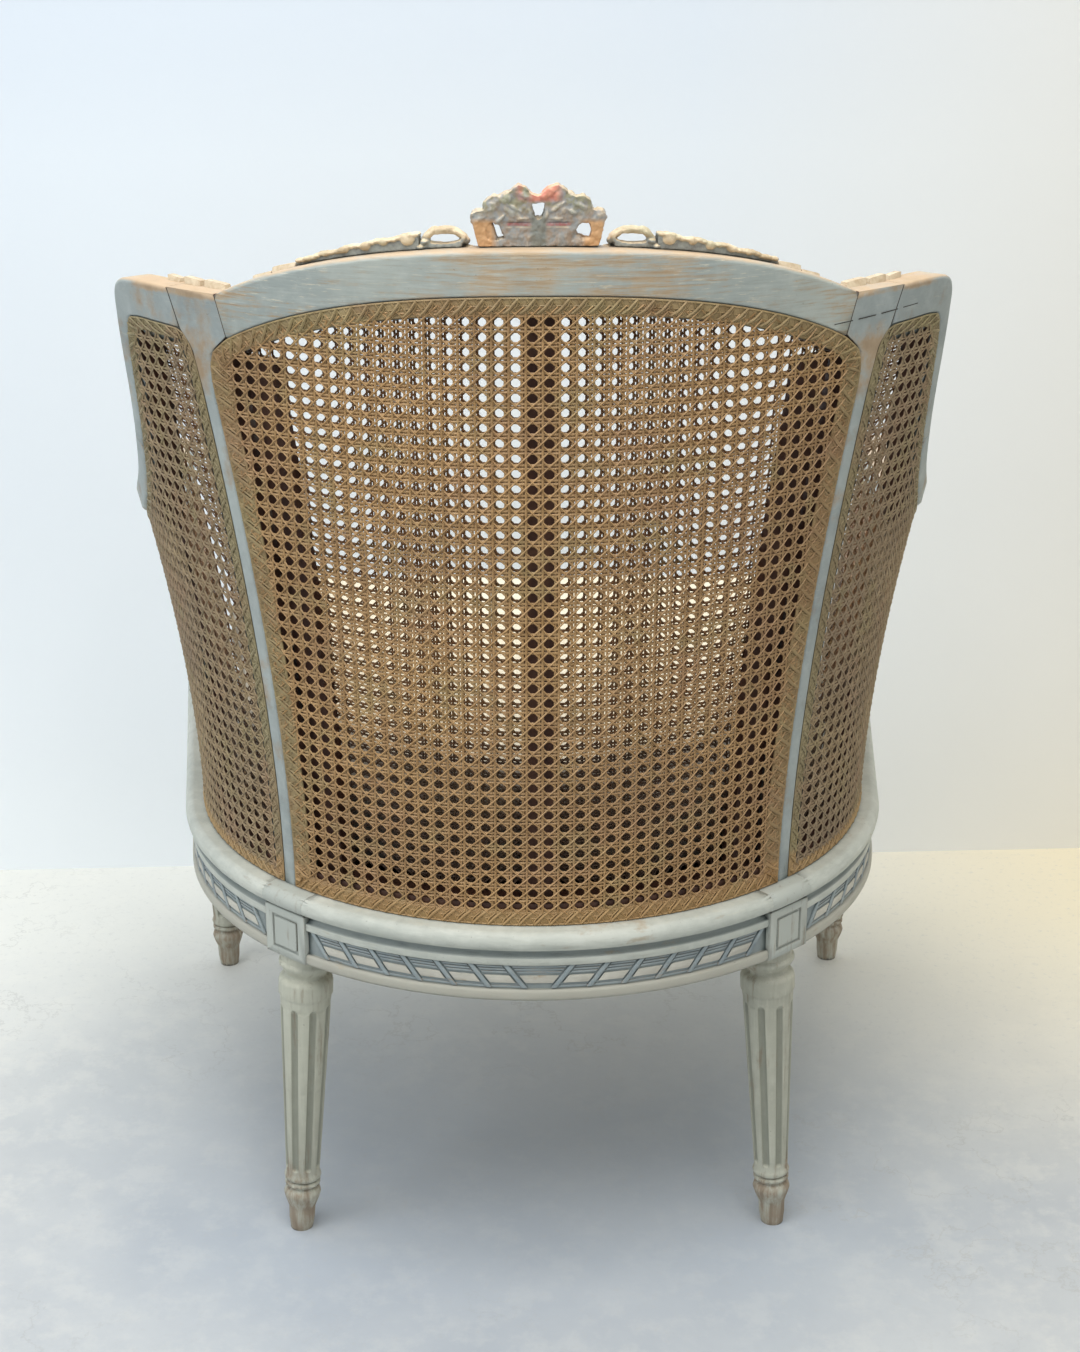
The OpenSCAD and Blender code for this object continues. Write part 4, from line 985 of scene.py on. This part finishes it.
def block_finish(name):
    """Carved ribbon rubbed to pale wood, with traces of brown along its edges."""
    f = Finish(name)
    fine = f.grain(150, 5, 0.6)
    f.colour = f.blend(fine.over(0.4, 0.65), (208, 192, 164), (186, 164, 134))
    f.coat((f.edge(0.0008) * (0.4 + fine)).over(0.3, 0.7) * 0.6, (160, 120, 84))
    f.coat(f.hollow(0.004).over(0.3, 0.8) * 0.7, (110, 92, 74))
    return f.done(0.62, fine, 0.0003, 0.5)


CRACK = ((32.6, 865.8), (36.0, 867.2), (39.4, 868.6), (42.9, 870.2), (46.4, 871.2))


def carving():
    rubbed = carving_finish("rubbed_carving")
    bow(carving_finish("bow_colours", polychrome=True))
    blocks = block_finish("ribbon_blocks")
    dark = line_finish("joint_shadow")
    for k, (a, b) in enumerate(zip(CRACK, CRACK[1:])):
        dash = [(-mix(a[0], b[0], t), mix(a[1], b[1], t)) for t in (0.05, 0.4, 0.8)]
        joint_line(f"wing_crack_{k}", dash, dark, 0.8)
    for side, way in (("left", 1), ("right", -1)):
        loop(side, way, rubbed)
        leaf(side, way, rubbed)
        ribbon_blocks(side, way, blocks)
        for part, angle, low, width in (("crest", CREST_END, WING_TOP - CREST_H + 2, 0.55),
                                        ("wing", WING_JOINT, WING_TOP - WING_H + 1, 0.7)):
            run = [(way * angle, z) for z in evenly(low, WING_TOP - 0.5, 6)]
            joint_line(f"{part}_joint_{side}", run, dark, width)


# ------------ caning

PITCH_S, PITCH_Z = 13.45, 12.67
STRAND_W, STRAND_T, PAIR = 2.1, 0.8, 1.5
OUTER_FACE, INNER_FACE, OUTER_MARGIN, INNER_MARGIN = -1.1, -28.9, 7, 5
TOP_ROW, ROWS_DRIFT, INNER_DROP, INNER_WIDER = 882.9, 3.8, 6.2, 1.024


def drifted(z):
    """Height of a row of holes: the rows lie a little closer at the panel's top and foot than between."""
    return z + ROWS_DRIFT * math.sin(2 * math.pi * (TOP_ROW - z) / (40 * PITCH_Z))


def strand(points, width):
    """Corners and faces of one ridged strand through flat points: x across, y up, z outwards."""
    verts, faces = [], []
    for i, p in enumerate(points):
        before, after = points[max(i - 1, 0)], points[min(i + 1, len(points) - 1)]
        way = Vector((after[0] - before[0], after[1] - before[1], 0)).normalized()
        side = Vector((-way.y, way.x, 0)) * width / 2
        p = Vector(p)
        verts += [p - side, p + Vector((0, 0, STRAND_T)), p + side]
    for i in range(len(points) - 1):
        a, b = i * 3, i * 3 + 3
        faces += [(a, b, b + 1, a + 1), (a + 1, b + 1, b + 2, a + 2), (a + 2, b + 2, b, a)]
    return verts, faces


def weave_cell():
    """One cell of the seven-step weave, with a hole at each of its corners, in millimetres."""
    s, z, lift, slim = PITCH_S, PITCH_Z, 0.55, STRAND_W * 0.72
    runs = []
    for side, depth in ((-1, lift), (1, -lift)):
        x = s / 2 + side * PAIR
        runs.append(([(x, 0, 0), (x, z / 2, depth), (x, z, 0)], STRAND_W))
    for side in (-1, 1):
        y = z / 2 + side * PAIR
        runs.append(([(0, y, 0), (s / 2 - PAIR, y, -lift), (s / 2 + PAIR, y, lift), (s, y, 0)], STRAND_W))
    falling, rising = (0.7, 1.4), (0.15, 0.95)
    low, high = falling
    runs += [([(0, z / 2, low), (s / 2, 0, high)], slim), ([(s / 2, z, high), (s, z / 2, low)], slim)]
    low, high = rising
    runs += [([(s / 2, 0, low), (s, z / 2, high)], slim), ([(0, z / 2, high), (s / 2, z, low)], slim)]
    verts, faces = [], []
    for points, width in runs:
        v, q = strand(points, width)
        faces += [tuple(i + len(verts) for i in face) for face in q]
        verts += v
    return flat_object("weave_cell", [v * MM for v in verts], faces)


def weave(name, outline, spot, face, start_s, top_z, margin, wider=1.0):
    """A caned sheet: the cell repeated flat, widened, trimmed to the outline and bent onto the shell."""
    low_s = min(p[0] for p in outline)
    high_s = max(p[0] for p in outline)
    first = math.floor((low_s - start_s) / PITCH_S)
    columns = math.ceil((high_s - start_s) / PITCH_S) - first
    rows = math.ceil((top_z - RAIL_TOP) / PITCH_Z) + 3
    cloth = weave_cell()
    cloth.name = name
    for count, step in ((columns, (PITCH_S * MM, 0, 0)), (rows, (0, PITCH_Z * MM, 0))):
        modified(cloth, "ARRAY", count=count, use_relative_offset=False, use_constant_offset=True,
                 constant_offset_displace=step)
    s0, z0 = start_s + first * PITCH_S, top_z + 2 * PITCH_Z - rows * PITCH_Z
    for v in cloth.data.vertices:
        v.co += Vector((s0, z0, 0)) * MM
        v.co.x *= wider
    points, inward = even_path(outline, 6)
    within = inside([tuple(p + n * margin) for p, n in zip(points, inward)])
    cut_away(cloth, lambda c: within(c.x, c.y))
    merged(cloth)
    bent(cloth, lambda c: shell(spot(c.x, c.y), drifted(c.y), face + c.z))
    return smooth(cloth, 70)


BIND_W, SIDE_BIND_W, BIND_STEP = 14.0, 11.0, 6.7


def binding(name, outline, spot, face, w, out_way=1, spread=0.0):
    """The dense bound edge of a caned panel: cords, slanting wraps and a backing, all round an outline.

    spread is how much wider it is up the stiles than along the top and foot.
    """
    plain = [([(0, 1.1, 0.4), (0.5, 1.1, 0.7), (1, 1.1, 0.4)], 2.2),
             ([(0, w - 1.3, 0.3), (1, w - 1.3, 0.3)], 2.2), ([(0, w / 2, 0.3), (1, w / 2, 0.3)], 2),
             ([(0, 1.4, 0.7), (0.5, w / 2, 0.6), (1, w - 1.6, 0.7)], 1.8)]
    bold = plain + [([(-0.7, w - 1.0, 0.8), (0.1, w * 0.62, 1.9), (1.1, 1.0, 1.2)], 2.5),
                    ([(0.1, w - 2.2, 0.7), (0.9, w * 0.5, 1.1), (1.2, 2.0, 0.8)], 1.7)]
    backing = (0.4, -0.4), (1.6, 0.5), (w - 2, 0.5), (w, -0.2)
    points, inward = even_path(outline, BIND_STEP)
    count = len(points)
    verts, faces = [], []

    def bound_spot(k, across, out):
        whole, part = math.floor(k), k - math.floor(k)
        p = points[whole % count].lerp(points[(whole + 1) % count], part)
        n = inward[whole % count].lerp(inward[(whole + 1) % count], part).normalized()
        flat = p + n * across * (1 + spread * n.x * n.x)
        return shell(spot(flat.x, flat.y), flat.y, face + out * out_way)

    for k in range(count):
        for run, width in (plain if k % 2 else bold):
            v, q = strand([(t * BIND_STEP, a, h) for t, a, h in run], width)
            faces += [tuple(i + len(verts) for i in f) for f in q]
            verts += [bound_spot(k + p.x / BIND_STEP, p.y, p.z) for p in v]
    base = len(verts)
    for k in range(count):
        verts += [bound_spot(k, across, out) for across, out in backing]
    for k in range(count):
        a, b = base + k * 4, base + (k + 1) % count * 4
        faces += [(a + i, b + i, b + i + 1, a + i + 1) for i in range(3)]
    return smooth(merged(flat_object(name, verts, faces), outward=True), 60)


def caning():
    inner = cane_finish("inner_cane_skin", (172, 134, 92), (138, 102, 68), (128, 94, 68), unlit=True)
    back_cane = cane_finish("cane_skin", (198, 160, 110), (160, 124, 78), (153, 121, 86))
    back_edge = cane_finish("binding_skin", (168, 146, 102), (132, 112, 74), (152, 116, 76), low_tan=True)
    # painted shade: the side panels' cane is a cooler, darker copy of the back's cane, standing for the cool side
    # light on it
    side_cane_in_shade = cane_finish("side_cane_skin", (178, 154, 118), (144, 122, 88), (140, 120, 98))
    side_edge = cane_finish("side_binding_skin", (164, 150, 112), (130, 118, 84), (142, 122, 88), low_tan=True)
    for part, outline, spot, start, width, spread, cane, edge in (
            ("back", back_outline(), back_spot, PITCH_S / 2 - 1.5, BIND_W, 0.45, back_cane, back_edge),
            ("left", side_outline(), side_spot, SIDE_BIND_W - 2, SIDE_BIND_W, 0.0, side_cane_in_shade, side_edge)):
        name, inner_name = part + "_cane", part + "_inner_cane"
        sheets = (
            (weave(name, outline, spot, OUTER_FACE, start, TOP_ROW, OUTER_MARGIN), cane, ["outer_cane_"]),
            (weave(inner_name, outline, spot, INNER_FACE, start, TOP_ROW - INNER_DROP, INNER_MARGIN, INNER_WIDER),
             inner, ["inner_cane_"]),
            (binding(name + "_binding", outline, spot, OUTER_FACE, width, 1, spread), edge, []),
            (binding(inner_name + "_binding", outline, spot, INNER_FACE + 0.6, width, -1), edge, []))
        for sheet, finish, nodes in sheets:
            if part == "left":
                other = mirrored(sheet, sheet.name.replace("left", "right"))
                finished(other, finish, *(node + "right" for node in nodes), slot="cane")
            finished(sheet, finish, *(node + part for node in nodes), slot="cane")


# ------------ cushion

def seat_finish(name):
    """Cream woven cloth, with painted shade on the side that faces the caned back."""
    f = Finish(name)
    cloth, broad = f.grain(900, 2), f.grain(5, 4)
    f.colour = f.blend(broad.over(0.35, 0.7), (238, 228, 202), (226, 212, 182))
    f.coat(cloth.over(0.45, 0.75) * 0.35, (206, 190, 160))
    # painted shade: the cushion's rear side below its top welt, darkened where the cane keeps the light off
    f.coat(f.axis("Y").over(0.0, 0.12) * f.axis("Z").over(0.482, 0.474) * 0.85, (88, 78, 68))
    return f.done(0.85, cloth + 0.6 * f.grain(180, 3), 0.0004, 0.4, sheen=0.25)


SLACK, PRESSURE, STEPS, FARTHEST = (0.975, 0.975, 0.94), 4, 20, 0.022
WELT_R, WELT_SINK, WELT_STEPS = 0.003, 0.0008, 240


def stuffed(made, lo, hi):
    """Swells a cover under the pressure of its filling and fits it to the space kept for it."""
    centre = (lo + hi) / 2
    for v in made.data.vertices:
        away = v.co - centre
        v.co = centre + Vector([a * share for a, share in zip(away, SLACK)])
    modified(made, "REMESH", mode="VOXEL", voxel_size=0.008)
    rest = [v.co.copy() for v in made.data.vertices]
    take(made)
    cloth = made.modifiers.new("Cloth", "CLOTH")
    cloth.settings.use_pressure = True
    cloth.settings.uniform_pressure_force = PRESSURE
    cloth.settings.effector_weights.gravity = 0
    cloth.point_cache.frame_start, cloth.point_cache.frame_end = 1, STEPS
    for step in range(1, STEPS + 1):
        bpy.context.scene.frame_set(step)
    bpy.ops.object.modifier_apply(modifier=cloth.name)
    for v, was in zip(made.data.vertices, rest):
        move = v.co - was
        if move.length > FARTHEST:
            v.co = was + move.normalized() * FARTHEST
    bpy.context.scene.frame_set(1)
    low, high = ([side(v.co[i] for v in made.data.vertices) for i in range(3)] for side in (min, max))
    for v in made.data.vertices:
        v.co = Vector([mix(lo[i], hi[i], (v.co[i] - low[i]) / (high[i] - low[i])) for i in range(3)])
    modified(made, "SUBSURF", levels=1, render_levels=1)


def welt(name, cover, height, finish):
    """Piped seam round the cover: a cord laid where its side reaches a height, in metres."""
    tree = BVHTree.FromObject(cover, bpy.context.evaluated_depsgraph_get())
    middle = Vector((0, (cover.bound_box[0][1] + cover.bound_box[6][1]) / 2, height))
    path = bpy.data.curves.new(name, "CURVE")
    path.dimensions, path.bevel_depth, path.bevel_resolution = "3D", WELT_R, 2
    run = path.splines.new("POLY")
    places = []
    for k in range(WELT_STEPS):
        turn = k * 360 / WELT_STEPS
        way = Vector((cos(turn), sin(turn), 0))
        spot = tree.ray_cast(middle + way * 0.6, -way)[0]
        if spot:
            places.append(spot - way * WELT_SINK)
    run.points.add(len(places) - 1)
    for point, spot in zip(run.points, places):
        point.co = (*spot, 1)
    run.use_cyclic_u = True
    take(linked(name, path))
    bpy.ops.object.convert(target="MESH")
    bpy.ops.object.shade_smooth()
    finished(merged(bpy.context.object, outward=True), finish, slot="cushion")


def cushion():
    made = cad_copy("seat_cushion", "seat_cushion_cover")
    lo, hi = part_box("seat_cushion")
    stuffed(made, lo + Vector((0, 0, 0.0005)), hi)
    take(made)
    bpy.ops.object.shade_smooth()
    cloth = seat_finish("seat_cloth")
    finished(made, cloth, "seat_cushion", slot="cushion")
    for name, share in (("seat_cushion_top_welt", 0.80), ("seat_cushion_foot_welt", 0.13)):
        welt(name, made, mix(lo.z, hi.z, share), cloth)


# ------------ room, light and camera

def floor_finish(name):
    """Pale floor with painted light and shade: lighter towards the wall, warm painted light in its far corner and
    a bluish painted shadow under the chair.
    """
    f = Finish(name)
    x, y = f.axis("X"), f.axis("Y")
    f.colour = f.blend(f.grain(3.2, 8, 0.65).over(0.35, 0.68), (204, 204, 200), (176, 179, 181))
    f.coat(f.grain(22, 6, 0.7).over(0.48, 0.62) * 0.55, (214, 212, 204))
    # painted light: lighter towards the wall
    f.coat(y.over(0.25, -0.35) * 0.85, (226, 225, 217))
    # painted light: warm in the far right-hand corner
    f.coat(x.over(-0.25, -0.7) * y.over(0.2, -0.4) * 0.8, (238, 224, 190))
    # painted shadow: bluish and darker under the chair
    f.coat(x.size().over(0.6, 0.2) * y.over(-0.35, 0.05) * y.over(0.65, 0.3) * 0.6, (170, 182, 196))
    f.coat(f.grain(120, 5, 0.7).over(0.56, 0.70) * 0.35, (186, 186, 184))
    crease = (f.grain(5, 7, 0.6, shift=(0.4, 0.2, 0)) - 0.5).size().over(0.006, 0.0)
    f.coat(crease * f.grain(2, 2).over(0.5, 0.6) * 0.35, (168, 166, 160))
    return f.done(0.5, f.grain(60, 5), 0.0006, 0.4)


def wall_finish(name):
    """Pale wall with painted light and shade: palest near the floor, darker and bluer with height, and warmer
    towards the right of the picture.
    """
    f = Finish(name)
    high = f.axis("Z")
    # painted light and shade: darker and bluer with height, warmer towards the right of the picture
    f.colour = f.blend(high.over(0.1, 1.0), (244, 248, 250), (221, 229, 236))
    f.coat(high.over(0.9, 1.7), (179, 189, 205))
    f.coat(f.axis("X").over(-0.2, -1.0), (234, 228, 214))
    return f.done(0.8, f.grain(90, 3), 0.0004, 0.2)


WALL_LEFT, WALL_RIGHT, WALL_H, WALL_MORE = Vector((0.6773, -0.5527, 0)), Vector((-0.7307, -0.5912, 0)), 6, 5


def room():
    """The floor, and the wall behind the chair, whose foot runs through two places at the picture's edges."""
    along, up = (WALL_RIGHT - WALL_LEFT).normalized(), Vector((0, 0, WALL_H))
    a, b = WALL_LEFT - along * WALL_MORE, WALL_RIGHT + along * WALL_MORE
    ground = flat_object("floor", [(-7, -5, 0), (7, -5, 0), (7, 9, 0), (-7, 9, 0)], [(0, 1, 2, 3)])
    wall = flat_object("wall", [a, b, b + up, a + up], [(0, 1, 2, 3)])
    coloured(ground, floor_finish("pale_floor"))
    coloured(wall, wall_finish("pale_wall"))
    wall.visible_shadow = False


def softbox(name, place, target, size, power, colour=(1, 1, 1)):
    lamp = bpy.data.lights.new(name, "AREA")
    lamp.shape, lamp.size, lamp.energy, lamp.color = "SQUARE", size, power, colour
    made = linked(name, lamp)
    made.location = place
    made.rotation_euler = (Vector(target) - Vector(place)).to_track_quat("-Z", "Y").to_euler()


def lights():
    softbox("high_light", (0.1, 1.2, 3.2), (0, 0, 0.4), 2.2, 60, (1.0, 0.98, 0.95))
    softbox("ceiling_light", (0.1, 0.05, 2.4), (0, -0.1, 0.3), 1.0, 14)
    softbox("window_light", (2.8, 1.5, 2.3), (0, 0, 0.6), 2.0, 36, (0.94, 0.97, 1.0))
    softbox("room_light", (-2.6, 2.0, 1.6), (0, -0.3, 0.4), 2.0, 10, (1.0, 0.87, 0.68))
    scene, world = bpy.context.scene, bpy.data.worlds.new("soft_room")
    world.use_nodes = True
    sky = world.node_tree.nodes["Background"].inputs
    sky["Color"].default_value, sky["Strength"].default_value = (0.78, 0.89, 1.0, 1), 0.48
    scene.world, scene.view_settings.view_transform = world, "Standard"


FOCAL_PX, FRAME_PX, SENSOR, YAW, PITCH = 2190, 1352, 36, 1.16, 20.45


def camera():
    """The photograph's camera, with its focal length and the frame's height in pixels."""
    data = bpy.data.cameras.new("camera")
    data.sensor_width, data.lens = SENSOR, SENSOR * FOCAL_PX / FRAME_PX
    made = linked("camera", data)
    look = Vector((-sin(YAW) * cos(PITCH), -cos(YAW) * cos(PITCH), -sin(PITCH)))
    made.rotation_mode = "QUATERNION"
    made.rotation_quaternion = look.to_track_quat("-Z", "Y")
    made.location = (0.0335, 2.0172, 1.22)
    bpy.context.scene.camera = made


camera()
room()
lights()
woodwork()
friezes()
carving()
caning()
cushion()
